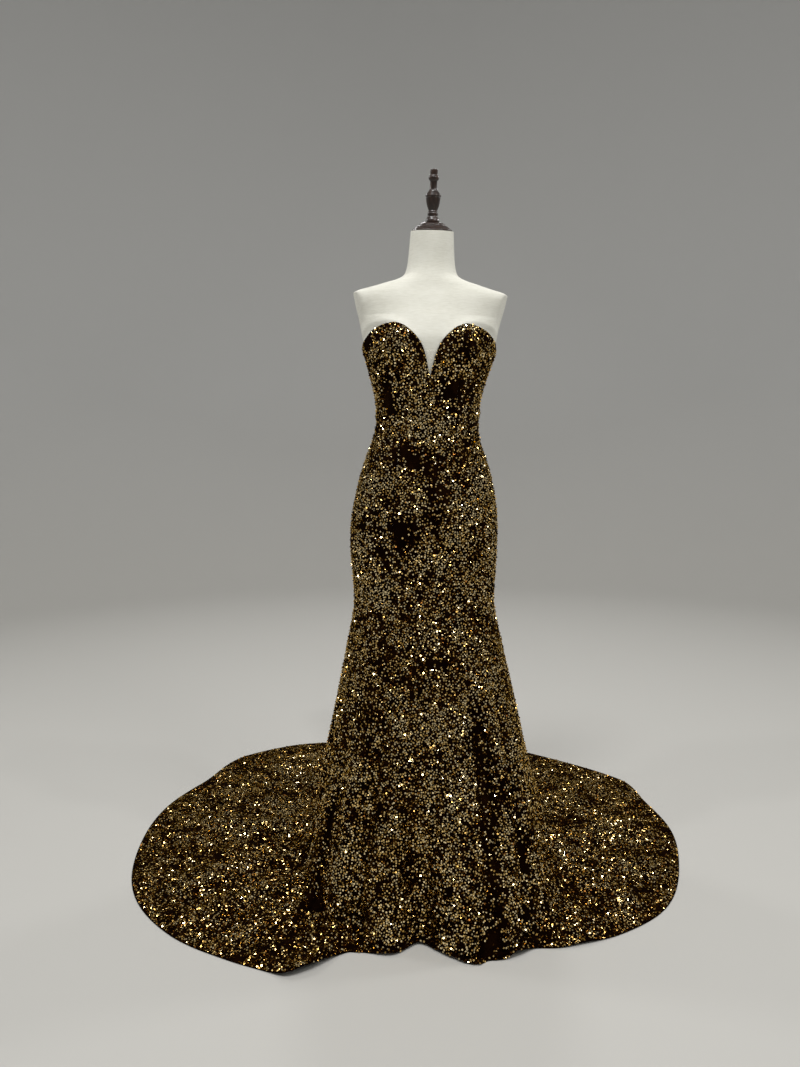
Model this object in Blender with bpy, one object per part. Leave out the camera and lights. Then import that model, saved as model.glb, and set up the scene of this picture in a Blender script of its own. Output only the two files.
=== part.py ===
"""Strapless sequin-velvet mermaid gown with a sweep train, worn by a limbless dress form on a stand.

Metres, +Z up, front towards -Y. The origin is the middle of the stand's foot, on the floor.

Every cloth point has two coordinates: its bearing, the angle round the stand's pole (0 at centre front,
positive towards +X), and its run, which is 0 at the neckline, 1 where the flare starts and 2 at the hem.
The surface so described is the cloth's inside face: it stands off the dress form, comes down to the floor,
and lies on it as the train. The outside face is the same surface moved out by the wall.
"""

import math

import bmesh
import bpy
import numpy as np
from mathutils import Matrix, Vector

# Driving dimensions of the cloth.
WALL = 0.0025  # velvet, its sequins' backing and the lining, as one wall
SEAM_GAP = 0.0003
FLARE_HEIGHT = 0.66  # where the fitted part ends and the skirt flares
LEAN_DEG = 1.65  # the torso leans this much towards +X on its pole
LEAN_FROM, LEAN_FULL = 0.70, 0.95  # heights between which the lean comes in

# The fitted part's rings, inside the cloth: height, half width, depth in front and behind.
FITTED = (
    # height, half_width, front, back
    (1.400, 0.1740, 0.0880, 0.0975),
    (1.356, 0.1580, 0.1060, 0.0985),
    (1.328, 0.1590, 0.1130, 0.0980),
    (1.276, 0.1450, 0.1100, 0.0950),
    (1.234, 0.1325, 0.1040, 0.0910),
    (1.186, 0.1220, 0.0985, 0.0860),
    (1.138, 0.1195, 0.0960, 0.0840),
    (1.095, 0.1285, 0.0990, 0.0880),
    (1.061, 0.1415, 0.1030, 0.0960),
    (0.993, 0.1610, 0.1090, 0.1190),
    (0.900, 0.1750, 0.1120, 0.1380),
    (0.850, 0.1765, 0.1130, 0.1400),
    (0.780, 0.1730, 0.1170, 0.1340),
    (0.720, 0.1695, 0.1240, 0.1330),
    (0.690, 0.1715, 0.1290, 0.1380),
    (0.660, 0.1765, 0.1370, 0.1480),
)
BUST_HEIGHT, BUST_BEARING_DEG = 1.300, 37.0
BUST_REACH = 0.021  # how far each cup stands out of the ring
BUST_WIDTH_DEG, BUST_RISE, BUST_DROP = 17.0, 0.062, 0.040

# The top edge: two round cups, a plunge between them, a lower back.
NECKLINE = (
    # bearing_deg, height
    (0.0, 1.2410),
    (3.0, 1.2700),
    (6.5, 1.2970),
    (10.5, 1.3170),
    (16.5, 1.3340),
    (23.5, 1.3480),
    (31.0, 1.3580),
    (42.0, 1.3640),
    (53.0, 1.3610),
    (65.0, 1.3500),
    (78.0, 1.3270),
    (90.0, 1.3060),
    (125.0, 1.2820),
    (180.0, 1.2580),
)

# The skirt in plan: where its slope meets the floor, the round where it turns on to the floor, and the hem.
SPREAD = (
    # bearing_deg, foot, fillet, hem
    (-180.0, 0.400, 0.42, 0.890),
    (-165.0, 0.395, 0.38, 0.895),
    (-150.0, 0.380, 0.32, 0.943),
    (-141.0, 0.365, 0.26, 0.950),
    (-127.0, 0.345, 0.18, 0.873),
    (-117.0, 0.325, 0.14, 0.852),
    (-98.0, 0.308, 0.08, 0.783),
    (-82.0, 0.306, 0.06, 0.728),
    (-65.0, 0.315, 0.05, 0.644),
    (-50.0, 0.330, 0.05, 0.563),
    (-39.0, 0.335, 0.04, 0.523),
    (-36.0, 0.334, 0.03, 0.519),
    (-33.0, 0.331, 0.03, 0.496),
    (-30.0, 0.330, 0.03, 0.429),
    (-27.0, 0.338, 0.02, 0.386),
    (-22.0, 0.351, 0.02, 0.366),
    (-14.0, 0.346, 0.02, 0.360),
    (-9.0, 0.338, 0.02, 0.351),
    (-3.0, 0.345, 0.02, 0.359),
    (3.0, 0.335, 0.02, 0.348),
    (8.0, 0.350, 0.02, 0.364),
    (12.0, 0.367, 0.02, 0.382),
    (15.0, 0.371, 0.02, 0.386),
    (18.5, 0.363, 0.02, 0.377),
    (23.0, 0.374, 0.02, 0.388),
    (28.0, 0.381, 0.02, 0.400),
    (36.0, 0.384, 0.03, 0.416),
    (44.0, 0.374, 0.04, 0.449),
    (58.0, 0.348, 0.05, 0.520),
    (72.0, 0.335, 0.06, 0.593),
    (91.0, 0.330, 0.07, 0.662),
    (106.0, 0.340, 0.10, 0.729),
    (118.0, 0.352, 0.15, 0.772),
    (129.0, 0.366, 0.22, 0.832),
    (142.0, 0.384, 0.31, 0.828),
    (160.0, 0.398, 0.39, 0.850),
)

# The flares that swing the front hem in and out, straight from the flare line to the floor.
FLARES = (
    # bearing_deg, width_deg, swing
    (-31.0, 4.0, -0.024),
    (-3.5, 5.5, -0.046),
    (19.0, 7.0, 0.012),
    (34.5, 4.5, -0.012),
)

FLARE_POWER = 1.5  # how slowly a flare opens below the flare line

# Runs at which the skirt's slope ends and its part on the floor starts.
FOOT_RUN, FLOOR_RUN = 1.42, 1.68

# Folds: a ridge where the height is positive, a valley where it is negative. Each crosses the skirt from
# one bearing at its start to another at the foot, or at its end if it starts on the floor, where only
# ridges rise.
FOLDS = (
    # from_deg, to_deg, width_deg, height, start, end
    (37.0, 21.0, 4.5, -0.015, 1.04, 1.90),
    (46.0, 29.0, 4.5, 0.012, 1.04, 2.10),
    (54.0, 38.0, 4.5, -0.012, 1.06, 1.72),
    (64.0, 47.0, 5.0, 0.009, 1.08, 1.95),
    (13.0, 8.0, 4.0, 0.007, 1.12, 2.10),
    (-13.0, -15.0, 4.5, 0.008, 1.10, 2.10),
    (-44.0, -40.0, 4.5, 0.011, 1.14, 1.80),
    (-60.0, -56.0, 5.5, -0.010, 1.10, 1.60),
    (-62.0, -56.0, 5.0, 0.012, 1.50, 1.97),
    (-80.0, -67.0, 5.0, 0.019, 1.48, 1.97),
    (-106.0, -77.0, 5.5, 0.017, 1.46, 1.98),
    (-128.0, -107.0, 6.0, 0.014, 1.44, 1.97),
    (-133.0, -130.0, 7.0, 0.014, 1.16, 1.96),
    (-158.0, -148.0, 7.0, 0.022, 1.04, 1.95),
    (62.0, 58.0, 4.5, 0.011, 1.50, 1.95),
    (88.0, 67.0, 5.0, 0.021, 1.47, 1.96),
    (105.0, 86.0, 5.5, 0.015, 1.47, 1.98),
    (116.0, 108.0, 6.0, 0.016, 1.40, 1.97),
    (138.0, 131.0, 7.0, 0.014, 1.14, 1.96),
    (163.0, 158.0, 6.5, 0.024, 1.03, 1.94),
    (180.0, 178.0, 7.0, 0.016, 1.06, 1.95),
)
FOLD_EASE = 0.12  # the run over which a fold comes up and dies away
HEM_LIFTS = (
    # bearing_deg, width_deg, lift: where the hem is held off the floor
    (-34.5, 4.0, 0.012),
    (-3.5, 5.0, 0.008),
    (47.0, 5.0, 0.006),
)

# Panels, from seam to seam, and the number of steps across each above and below the flare line.
FRONT_SEAM, SIDE_SEAM, BACK_SEAM = 37.0, 95.0, 142.0
UPPER_FRONT_DEG = (0.0, 3.0, 6.5, 11.0, 17.0, 24.0, 30.5, FRONT_SEAM)
PANELS = (
    # name, from_deg, to_deg, upper_steps, skirt_steps
    ("side_front_right", -SIDE_SEAM, -FRONT_SEAM, 8, 15),
    ("side_front_left", FRONT_SEAM, SIDE_SEAM, 8, 15),
    ("side_back_right", -BACK_SEAM, -SIDE_SEAM, 6, 10),
    ("side_back_left", SIDE_SEAM, BACK_SEAM, 6, 10),
    ("back_right", -180.0, -BACK_SEAM, 5, 8),
    ("back_left", BACK_SEAM, 180.0, 5, 8),
)
UPPER_RUNS = (
    0.0, 0.028, 0.056, 0.085, 0.115, 0.148, 0.185, 0.23, 0.28,
    0.335, 0.395, 0.46, 0.53, 0.605, 0.69, 0.785, 0.89,
)  # close together over the bust
SLOPE_ROWS, FILLET_ROWS, FLOOR_ROWS = 8, 5, 6
FRONT_SKIRT_STEPS = 26

# What is sewn in: the net that fills the plunge, and the zip that closes the centre back.
BEHIND = 0.0008  # from the cloth to what is sewn in behind it
NET_TOP, NET_DEPTH, NET_TURNING, NET_WALL = 1.302, 0.008, 0.005, 0.0010
ZIP_ROWS, ZIP_HALF_WIDTH, ZIP_WALL = 14, 0.012, 0.0010
SLIDER_DROP = 0.014  # the slider's middle, below the back's top edge

# The dress form.
FORM_GAP = 0.0021  # between the torso and the cloth, with room for what is sewn in
FORM_BOTTOM, BOTTOM_ROUND, CHEST_TOP, NECK_TOP = 0.705, 0.010, 1.385, 1.583
NECK_BASE, NECK_TILT_DEG = 1.484, 9.5  # the neck bends forward, and its cap tilts with it
SIDE_FROM, SIDE_HALF, SIDE_SLOPE, SIDE_EASE = 1.328, 0.1605, 0.2083, 0.45  # the chest's straight sides
CHEST_ROWS = 5  # between the neckline and the chest's top
SHOULDERS = (
    # height, half_width, front, back
    (1.4000, 0.1770, 0.0852, 0.0968),
    (1.4150, 0.1868, 0.0795, 0.0945),
    (1.4300, 0.1935, 0.0740, 0.0910),
    (1.4390, 0.1900, 0.0705, 0.0880),
    (1.4460, 0.1740, 0.0680, 0.0845),
    (1.4540, 0.1460, 0.0655, 0.0790),
    (1.4640, 0.1120, 0.0630, 0.0725),
    (1.4730, 0.0820, 0.0605, 0.0665),
    (1.4840, 0.0640, 0.0575, 0.0610),
    (1.5050, 0.0565, 0.0540, 0.0565),
    (1.5450, 0.0525, 0.0520, 0.0530),
    (NECK_TOP, 0.0500, 0.0500, 0.0500),
)
ARM_PLATE_TOP, ARM_PLATE_REACH, ARM_PLATE_SLOPE = 1.440, 0.1820, 0.21
ARM_PLATE_TURN, ARM_PLATE_LOW, ARM_PLATE_FULL = 0.35, 1.335, 1.375  # how far it turns forward, and from where
CAP_PROFILE = (
    # height above the neck, radius
    (0.0003, 0.0466),
    (0.0026, 0.0470),
    (0.0045, 0.0445),
    (0.0068, 0.0407),
    (0.0092, 0.0374),
    (0.0112, 0.0353),
    (0.0126, 0.0306),
    (0.0158, 0.0291),
    (0.0190, 0.0235),
)
FINIAL_PROFILE = (
    (0.0193, 0.0160),
    (0.0235, 0.0159),
    (0.0270, 0.0149),
    (0.0300, 0.0131),
    (0.0331, 0.0116),
    (0.0375, 0.0119),
    (0.0412, 0.0116),
    (0.0455, 0.0102),
    (0.0490, 0.0114),
    (0.0540, 0.0134),
    (0.0600, 0.0151),
    (0.0700, 0.0165),
    (0.0745, 0.0171),
    (0.0762, 0.0179),
    (0.0787, 0.0178),
    (0.0805, 0.0162),
    (0.0847, 0.0132),
    (0.0890, 0.0103),
    (0.0950, 0.0087),
    (0.1020, 0.0081),
    (0.1085, 0.0085),
    (0.1118, 0.0111),
    (0.1150, 0.0119),
    (0.1186, 0.0112),
    (0.1212, 0.0090),
    (0.1315, 0.0087),
    (0.1340, 0.0074),
)
TURNED_SIDES = 20
FOOT_RADIUS, FOOT_THICKNESS, FOOT_ROUND = 0.160, 0.014, 0.004
POLE_RADIUS, POLE_SIDES, FOOT_SIDES = 0.0160, 24, 48
SOCKET_RADIUS, SOCKET_TOP_RADIUS, SOCKET_HEIGHT = 0.026, 0.021, 0.040
FLANGE_RADIUS, FLANGE_THICKNESS = 0.055, 0.008

# The zip's slider and its hinged pull tab, which hangs from a bridge on the slider.
SLIDER_WIDTH, SLIDER_LENGTH, SLIDER_THICKNESS = 0.0080, 0.0120, 0.0026
BRIDGE_WIDTH, BRIDGE_WIRE, BRIDGE_LENGTH, BRIDGE_HEIGHT = 0.0016, 0.0010, 0.0078, 0.0040
BRIDGE_STEPS, PULL_END_STEPS = 10, 8
PULL_LENGTH, PULL_WIDTH, PULL_WALL = 0.0240, 0.0062, 0.0012
PULL_SLOT_WIDTH, PULL_SLOT_LENGTH, PULL_BAR, PULL_RAIL = 0.0026, 0.0060, 0.0012, 0.0010
PULL_AXIS_DROP = 0.0010  # below the bridge's middle

BEARING_STEP, RUN_STEP = 0.04, 0.002  # the steps either side of a point that give the cloth's slope there
SMALL = 1e-4


class Curve:
    """A smooth line through (place, value) pairs that never overshoots them. A period closes it."""

    def __init__(self, places, values, period=None):
        order = np.argsort(places)
        places, values = np.array(places, float)[order], np.array(values, float)[order]
        if period:
            places = np.concatenate([places[-2:] - period, places, places[:2] + period])
            values = np.concatenate([values[-2:], values, values[:2]])
        self.period, self.places, self.values = period, places, values
        gaps, rises = np.diff(places), np.diff(values) / np.diff(places)
        slopes = np.concatenate([rises[:1], np.zeros(len(places) - 2), rises[-1:]])
        same_way = rises[:-1] * rises[1:] > 0
        before, after = 2 * gaps[1:] + gaps[:-1], gaps[1:] + 2 * gaps[:-1]
        safe = np.where(same_way, rises[:-1], 1.0), np.where(same_way, rises[1:], 1.0)
        inner = (before + after) / (before / safe[0] + after / safe[1])
        slopes[1:-1] = np.where(same_way, inner, 0.0)
        self.slopes = slopes

    def __call__(self, place):
        place = np.asarray(place, float)
        if self.period:
            place = (place + self.period / 2) % self.period - self.period / 2
        place = np.clip(place, self.places[0], self.places[-1])
        i = np.clip(np.searchsorted(self.places, place) - 1, 0, len(self.places) - 2)
        gap = self.places[i + 1] - self.places[i]
        t = (place - self.places[i]) / gap
        back = 1 - t
        return (
            self.values[i] * back * back * (1 + 2 * t)
            + self.values[i + 1] * t * t * (3 - 2 * t)
            + gap * t * back * (self.slopes[i] * back - self.slopes[i + 1] * t)
        )


def columns(table):
    """A table's columns, each as one tuple."""
    return tuple(zip(*table))


HEIGHTS, *RINGS = columns(FITTED)
HALF_WIDTH, FRONT_DEPTH, BACK_DEPTH = (Curve(HEIGHTS, ring) for ring in RINGS)
NECK_HEIGHT = Curve(*columns(NECKLINE))
BEARINGS, *PLAN = columns(SPREAD)
FOOT_REACH, FILLET, HEM_REACH = (Curve(BEARINGS, column, 360.0) for column in PLAN)


def ease(low, high, value):
    """0 below low, 1 above high, and a smooth step between."""
    t = np.clip((value - low) / (high - low), 0, 1)
    return t * t * (3 - 2 * t)


def bell(distance, width):
    return np.exp(-((distance / width) ** 2))


def turned_between(first, second):
    """The signed angle in degrees from the second bearing to the first, the short way round."""
    return (first - second + 180) % 360 - 180


def ring_radius(bearing, half_width, front, back):
    """The radius of a ring that is an ellipse in front and another behind."""
    turn = np.radians(bearing)
    depth = np.where(np.cos(turn) > 0, front, back)
    return 1 / np.sqrt((np.sin(turn) / half_width) ** 2 + (np.cos(turn) / depth) ** 2)


def body_radius(bearing, height):
    """The cloth's inside radius on the fitted part."""
    radius = ring_radius(bearing, HALF_WIDTH(height), FRONT_DEPTH(height), BACK_DEPTH(height))
    above = height - BUST_HEIGHT
    tall = bell(above, np.where(above > 0, BUST_RISE, BUST_DROP))
    for side in (-1, 1):
        radius = radius + BUST_REACH * tall * bell(bearing - side * BUST_BEARING_DEG, BUST_WIDTH_DEG)
    return radius


def swing(bearing):
    """How far the front flares move the skirt at its foot and hem."""
    return sum(reach * bell(turned_between(bearing, at), width) for at, width, reach in FLARES)


def profile(bearing, t):
    """The skirt's section, for t from 0 to 1: radius, height, and the outward normal's two parts."""
    top = body_radius(bearing, FLARE_HEIGHT)
    foot, hem = FOOT_REACH(bearing), HEM_REACH(bearing)
    drop = np.hypot(foot - top, FLARE_HEIGHT)
    dip = np.arctan2(FLARE_HEIGHT, foot - top)  # the slope's angle below level
    tangent = np.minimum(FILLET(bearing) * np.tan(dip / 2), (hem - foot) / 2)
    fillet = tangent / np.tan(dip / 2)
    lengths = drop - tangent, fillet * dip, hem - foot - tangent
    foot_at, floor_at = FOOT_RUN - 1, FLOOR_RUN - 1
    spans = (0.0, foot_at), (foot_at, floor_at), (floor_at, 1.0)
    shares = (np.clip((t - low) / (high - low), 0, 1) for low, high in spans)
    way = sum(length * share for length, share in zip(lengths, shares))
    on_slope, on_floor = t <= foot_at, t >= floor_at
    tilt = np.where(on_slope, dip, dip - (way - lengths[0]) / np.maximum(fillet, SMALL))
    tilt = np.where(on_floor, 0.0, tilt)
    radius = np.where(on_slope, top + way * np.cos(dip), foot + tangent - fillet * np.sin(tilt))
    radius = np.where(on_floor, foot + tangent + way - lengths[0] - lengths[1], radius)
    radius = radius + swing(bearing) * np.minimum(t / foot_at, 1.0) ** FLARE_POWER
    height = np.where(on_slope, FLARE_HEIGHT - way * np.sin(dip), fillet * (1 - np.cos(tilt)))
    return radius, np.where(on_floor, 0.0, height), np.sin(tilt), np.cos(tilt)


def fold_height(bearing, run):
    """How far the folds move the cloth out, or up where it lies on the floor."""
    total = 0.0
    for start_deg, end_deg, width, height, start, end in FOLDS:
        settled = FOOT_RUN if start < FOOT_RUN else end
        share = np.clip((run - start) / (settled - start), 0, 1)
        at = start_deg + share * turned_between(end_deg, start_deg)
        shown = ease(start, start + FOLD_EASE, run) * (1 - ease(end - FOLD_EASE, end, run))
        total = total + height * shown * bell(turned_between(bearing, at), width)
    return total


def hem_lift(bearing, run):
    lift = sum(height * bell(turned_between(bearing, at), width) for at, width, height in HEM_LIFTS)
    return lift * ease(FOOT_RUN - 0.1, 2.0, run)


def leaned(points):
    """The torso's lean on its pole, about the Y axis."""
    amount = math.tan(math.radians(LEAN_DEG)) * ease(LEAN_FROM, LEAN_FULL, points[..., 2])
    pivot = (LEAN_FROM + LEAN_FULL) / 2
    out = points.copy()
    out[..., 0] += amount * (points[..., 2] - pivot)
    out[..., 2] -= amount * points[..., 0]
    return out


def inside_face(bearing, run):
    """The cloth's inside face, before the lean."""
    bearing, run = np.broadcast_arrays(np.asarray(bearing, float), np.asarray(run, float))
    top = NECK_HEIGHT(np.abs(turned_between(bearing, 0.0)))
    fitted_height = top + (FLARE_HEIGHT - top) * np.minimum(run, 1.0)
    fitted_radius = body_radius(bearing, fitted_height)
    radius, height, out, up = profile(bearing, np.maximum(run - 1.0, 0.0))
    relief = fold_height(bearing, run)
    relief = np.where(height < WALL, np.maximum(relief, 0.0), relief)
    radius, height = radius + relief * out, height + relief * up + hem_lift(bearing, run)
    radius = np.where(run <= 1.0, fitted_radius, radius)
    height = np.where(run <= 1.0, fitted_height, np.maximum(height, 0.0))
    turn = np.radians(bearing)
    return np.stack([radius * np.sin(turn), -radius * np.cos(turn), height], axis=-1)


def cloth(bearing, run, out=0.0):
    """A point on the cloth, moved out of its inside face by out."""
    bearing, run = np.broadcast_arrays(np.asarray(bearing, float), np.asarray(run, float))
    across = inside_face(bearing + BEARING_STEP, run) - inside_face(bearing - BEARING_STEP, run)
    above, below = np.maximum(run - RUN_STEP, 0.0), np.minimum(run + RUN_STEP, 2.0)
    normal = np.cross(inside_face(bearing, below) - inside_face(bearing, above), across)
    normal /= np.linalg.norm(normal, axis=-1, keepdims=True)
    return leaned(inside_face(bearing, run) + normal * out)


def run_at(bearing, height):
    """The run of the fitted cloth at a height."""
    top = NECK_HEIGHT(np.abs(turned_between(bearing, 0.0)))
    return (top - height) / (top - FLARE_HEIGHT)


def material(name, colour, roughness, metallic=0.0):
    made = bpy.data.materials.new(name)
    made.use_nodes = True
    shader = made.node_tree.nodes["Principled BSDF"]
    shader.inputs["Base Color"].default_value = (*colour, 1.0)
    shader.inputs["Roughness"].default_value = roughness
    shader.inputs["Metallic"].default_value = metallic
    return made


def add_object(name, mesh, finish):
    """The mesh as a named object, with its faces turned out and its round parts shaded smooth."""
    shape = bmesh.new()
    shape.from_mesh(mesh)
    bmesh.ops.recalc_face_normals(shape, faces=shape.faces)
    shape.to_mesh(mesh)
    shape.free()
    mesh.shade_smooth()
    mesh.set_sharp_from_angle(angle=math.radians(40))
    mesh.materials.append(finish)
    made = bpy.data.objects.new(name, mesh)
    bpy.context.scene.collection.objects.link(made)
    return made


def strip(first, second, first_places, second_places):
    """Triangles between two rows of point numbers at these bearings. Their diagonals fan out downwards."""
    faces, i, j = [], 0, 0
    while i < len(first) - 1 or j < len(second) - 1:
        second_lags = i == len(first) - 1
        if not second_lags and j < len(second) - 1:
            ahead = second_places[j + 1] - first_places[i + 1]
            second_lags = ahead < -SMALL or (ahead < SMALL and first_places[i] < 0)
        if second_lags:
            faces.append((first[i], second[j], second[j + 1]))
            j += 1
        else:
            faces.append((first[i], second[j], first[i + 1]))
            i += 1
    return faces


def wall_mesh(name, rows, inner, outer):
    """A closed wall of cloth through rows of (bearings, runs), from inner to outer off the inside face."""
    points, numbers = [], []
    for face_out in (outer, inner):
        for bearings, runs in rows:
            start = sum(len(group) for group in points)
            points.append(cloth(bearings, runs, face_out))
            numbers.append(list(range(start, start + len(bearings))))
    outside, inside = numbers[: len(rows)], numbers[len(rows) :]
    faces = []
    for layer in (outside, inside):
        for above, below, top, bottom in zip(layer, layer[1:], rows, rows[1:]):
            faces += strip(above, below, top[0], bottom[0])
    edges = [
        (outside[0], inside[0]),
        (outside[-1], inside[-1]),
        ([row[0] for row in outside], [row[0] for row in inside]),
        ([row[-1] for row in outside], [row[-1] for row in inside]),
    ]
    for near, far in edges:
        for i in range(len(near) - 1):
            faces.append((near[i], near[i + 1], far[i + 1], far[i]))
    mesh = bpy.data.meshes.new(name)
    mesh.from_pydata(np.concatenate(points).tolist(), [], faces)
    mesh.validate()
    return mesh


def inset_bearings(bearings, run):
    """Moves a row's two ends in by half the seam's gap."""
    bearings = np.array(bearings, float)
    place = inside_face(bearings[[0, -1]], run)
    half_gap = np.degrees(SEAM_GAP / 2 / np.maximum(np.hypot(place[:, 0], place[:, 1]), 0.05))
    bearings[0] += half_gap[0]
    bearings[-1] -= half_gap[1]
    return bearings


def panel_rows(upper, skirt):
    """Rows of (bearings, runs) from the neckline to the hem."""
    rows = []
    for run in UPPER_RUNS:
        rows.append((inset_bearings(upper, run), run))
    slope = np.linspace(1.0, FOOT_RUN, SLOPE_ROWS + 1)
    fillet = np.linspace(FOOT_RUN, FLOOR_RUN, FILLET_ROWS + 1)
    floor = np.linspace(FLOOR_RUN, 2.0, FLOOR_ROWS + 1)
    for run in (*slope, *fillet[1:], *floor[1:]):
        rows.append((inset_bearings(skirt, run), run))
    return rows


def make_gown(velvet):
    front_upper = [-deg for deg in reversed(UPPER_FRONT_DEG[1:])] + list(UPPER_FRONT_DEG)
    front_skirt = np.linspace(-FRONT_SEAM, FRONT_SEAM, FRONT_SKIRT_STEPS + 1)
    rows = panel_rows(front_upper, front_skirt)
    add_object("centre_front", wall_mesh("centre_front", rows, 0.0, WALL), velvet)
    for name, start, end, upper_steps, skirt_steps in PANELS:
        upper = np.linspace(start, end, upper_steps + 1)
        skirt = np.linspace(start, end, skirt_steps + 1)
        add_object(name, wall_mesh(name, panel_rows(upper, skirt), 0.0, WALL), velvet)


def make_net(net):
    """The sheer net behind the plunge, from under its point to a straight top between the cups."""
    lowest = NECKLINE[0][1] - NET_DEPTH
    across = Curve(*columns((height, deg) for deg, height in NECKLINE[:5]))
    rows = []
    for height in np.linspace(NET_TOP, lowest, 9):
        half = float(across(height)) + math.degrees(NET_TURNING / body_radius(0.0, height))
        bearings = np.linspace(-half, half, 7)
        rows.append((bearings, height))
    outer, inner = -BEHIND, -BEHIND - NET_WALL
    add_object("plunge_net", sewn_in_mesh("plunge_net", rows, outer, inner), net)


def sewn_in_mesh(name, rows, outer, inner):
    """A closed thin piece behind the cloth, through rows of (bearings, height)."""
    grid, count = [], len(rows[0][0])
    for face_out in (outer, inner):
        for bearings, height in rows:
            turn, radius = np.radians(bearings), body_radius(bearings, height) + face_out
            level = np.full(len(bearings), height)
            grid.append(np.stack([radius * np.sin(turn), -radius * np.cos(turn), level], axis=-1))
    points = leaned(np.concatenate(grid))
    layer = len(rows) * count
    faces = []
    for i in range(len(rows) - 1):
        for j in range(count - 1):
            corner = i * count + j
            quad = (corner, corner + 1, corner + count + 1, corner + count)
            faces.append(quad)
            faces.append(tuple(layer + k for k in reversed(quad)))
    first, last = range(count), range(layer - count, layer)
    left, right = range(0, layer, count), range(count - 1, layer, count)
    for edge in (first, last, left, right):
        for a, b in zip(edge, edge[1:]):
            faces.append((a, b, layer + b, layer + a))
    mesh = bpy.data.meshes.new(name)
    mesh.from_pydata(points.tolist(), [], faces)
    return mesh


def back_place(height, out):
    """The matrix that stands a part on the centre back at a height, its +Y outwards."""
    run = float(run_at(180.0, height))
    low, here, high = (Vector(cloth(180.0, run + step, out)) for step in (0.01, 0.0, -0.01))
    up = (high - low).normalized()
    side = Vector((1.0, 0.0, 0.0))
    side = (side - side.dot(up) * up).normalized()
    outward = up.cross(side)
    return Matrix(
        (
            (side.x, outward.x, up.x, here.x),
            (side.y, outward.y, up.y, here.y),
            (side.z, outward.z, up.z, here.z),
            (0.0, 0.0, 0.0, 1.0),
        )
    )


def extruded(name, outline, low, high):
    """A closed prism: an outline of (second, third) coordinates, drawn out along the first."""
    shape = bmesh.new()
    corners = [shape.verts.new((low, a, b)) for a, b in outline]
    face = shape.faces.new(corners)
    moved = bmesh.ops.extrude_face_region(shape, geom=[face])["geom"]
    verts = [item for item in moved if isinstance(item, bmesh.types.BMVert)]
    bmesh.ops.translate(shape, verts=verts, vec=(high - low, 0, 0))
    bmesh.ops.recalc_face_normals(shape, faces=shape.faces)
    mesh = bpy.data.meshes.new(name)
    shape.to_mesh(mesh)
    shape.free()
    return mesh


def make_zip(tape, metal):
    top = NECKLINE[-1][1] - SEAM_GAP
    half = math.degrees(ZIP_HALF_WIDTH / BACK_DEPTH(top))
    bearings = 180.0 + np.linspace(-half, half, 5)
    levels = [NECKLINE[-1][1] * (1 - run) + FLARE_HEIGHT * run for run in UPPER_RUNS[:ZIP_ROWS]]
    rows = [(bearings, min(level, top)) for level in levels]
    outer, inner = -BEHIND, -BEHIND - ZIP_WALL
    add_object("back_zip", sewn_in_mesh("back_zip", rows, outer, inner), tape)

    place = back_place(NECKLINE[-1][1] - SLIDER_DROP, WALL + SEAM_GAP)
    slider = add_object("zip_slider", slider_mesh(), metal)
    slider.matrix_world = place
    axis = place @ Vector((0, SLIDER_THICKNESS + (BRIDGE_HEIGHT - BRIDGE_WIRE) / 2, -PULL_AXIS_DROP))
    pull = add_object("zip_pull", pull_mesh(), metal)
    pull.matrix_world = Matrix.Translation(axis)


def slider_mesh():
    """The slider's plate with a wire bridge over it, in the plane across its width."""
    half_long, thick = SLIDER_LENGTH / 2, SLIDER_THICKNESS
    nose, tail = SLIDER_WIDTH / 4, SLIDER_WIDTH / 3
    plate = bmesh.new()
    outline = [(-SLIDER_WIDTH / 2, half_long - nose), (-nose, half_long), (nose, half_long)]
    outline += [(SLIDER_WIDTH / 2, half_long - nose), (tail, -half_long), (-tail, -half_long)]
    low = [plate.verts.new((x, 0, z)) for x, z in outline]
    high = [plate.verts.new((x, thick, z)) for x, z in outline]
    plate.faces.new(low)
    plate.faces.new(list(reversed(high)))
    for i in range(len(outline)):
        j = (i + 1) % len(outline)
        plate.faces.new((low[i], low[j], high[j], high[i]))
    mesh = bpy.data.meshes.new("zip_slider")
    bmesh.ops.recalc_face_normals(plate, faces=plate.faces)
    plate.to_mesh(mesh)
    plate.free()

    sunk = -thick / 2  # the bridge's feet reach into the plate
    outer, inner = [], []
    for i in range(BRIDGE_STEPS + 1):
        turn = math.pi * i / BRIDGE_STEPS
        outer.append((thick + BRIDGE_HEIGHT * math.sin(turn), -BRIDGE_LENGTH / 2 * math.cos(turn)))
        inner_long, inner_rise = BRIDGE_LENGTH / 2 - BRIDGE_WIRE, BRIDGE_HEIGHT - BRIDGE_WIRE
        inner.append((thick + inner_rise * math.sin(turn), -inner_long * math.cos(turn)))
    outer[0], outer[-1] = (thick + sunk, outer[0][1]), (thick + sunk, outer[-1][1])
    inner[0], inner[-1] = (thick + sunk, inner[0][1]), (thick + sunk, inner[-1][1])
    arch = extruded("bridge", outer + list(reversed(inner)), -BRIDGE_WIDTH / 2, BRIDGE_WIDTH / 2)
    return joined(mesh, arch)


def joined(mesh, other):
    """The Boolean union of two closed meshes."""
    holder, tool = (bpy.data.objects.new(name, data) for name, data in (("holder", mesh), ("tool", other)))
    for item in (holder, tool):
        bpy.context.scene.collection.objects.link(item)
    union = holder.modifiers.new("union", "BOOLEAN")
    union.operation, union.object = "UNION", tool
    bpy.context.view_layer.update()
    result = bpy.data.meshes.new_from_object(holder.evaluated_get(bpy.context.evaluated_depsgraph_get()))
    for item in (holder, tool):
        bpy.data.objects.remove(item)
    return result


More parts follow.
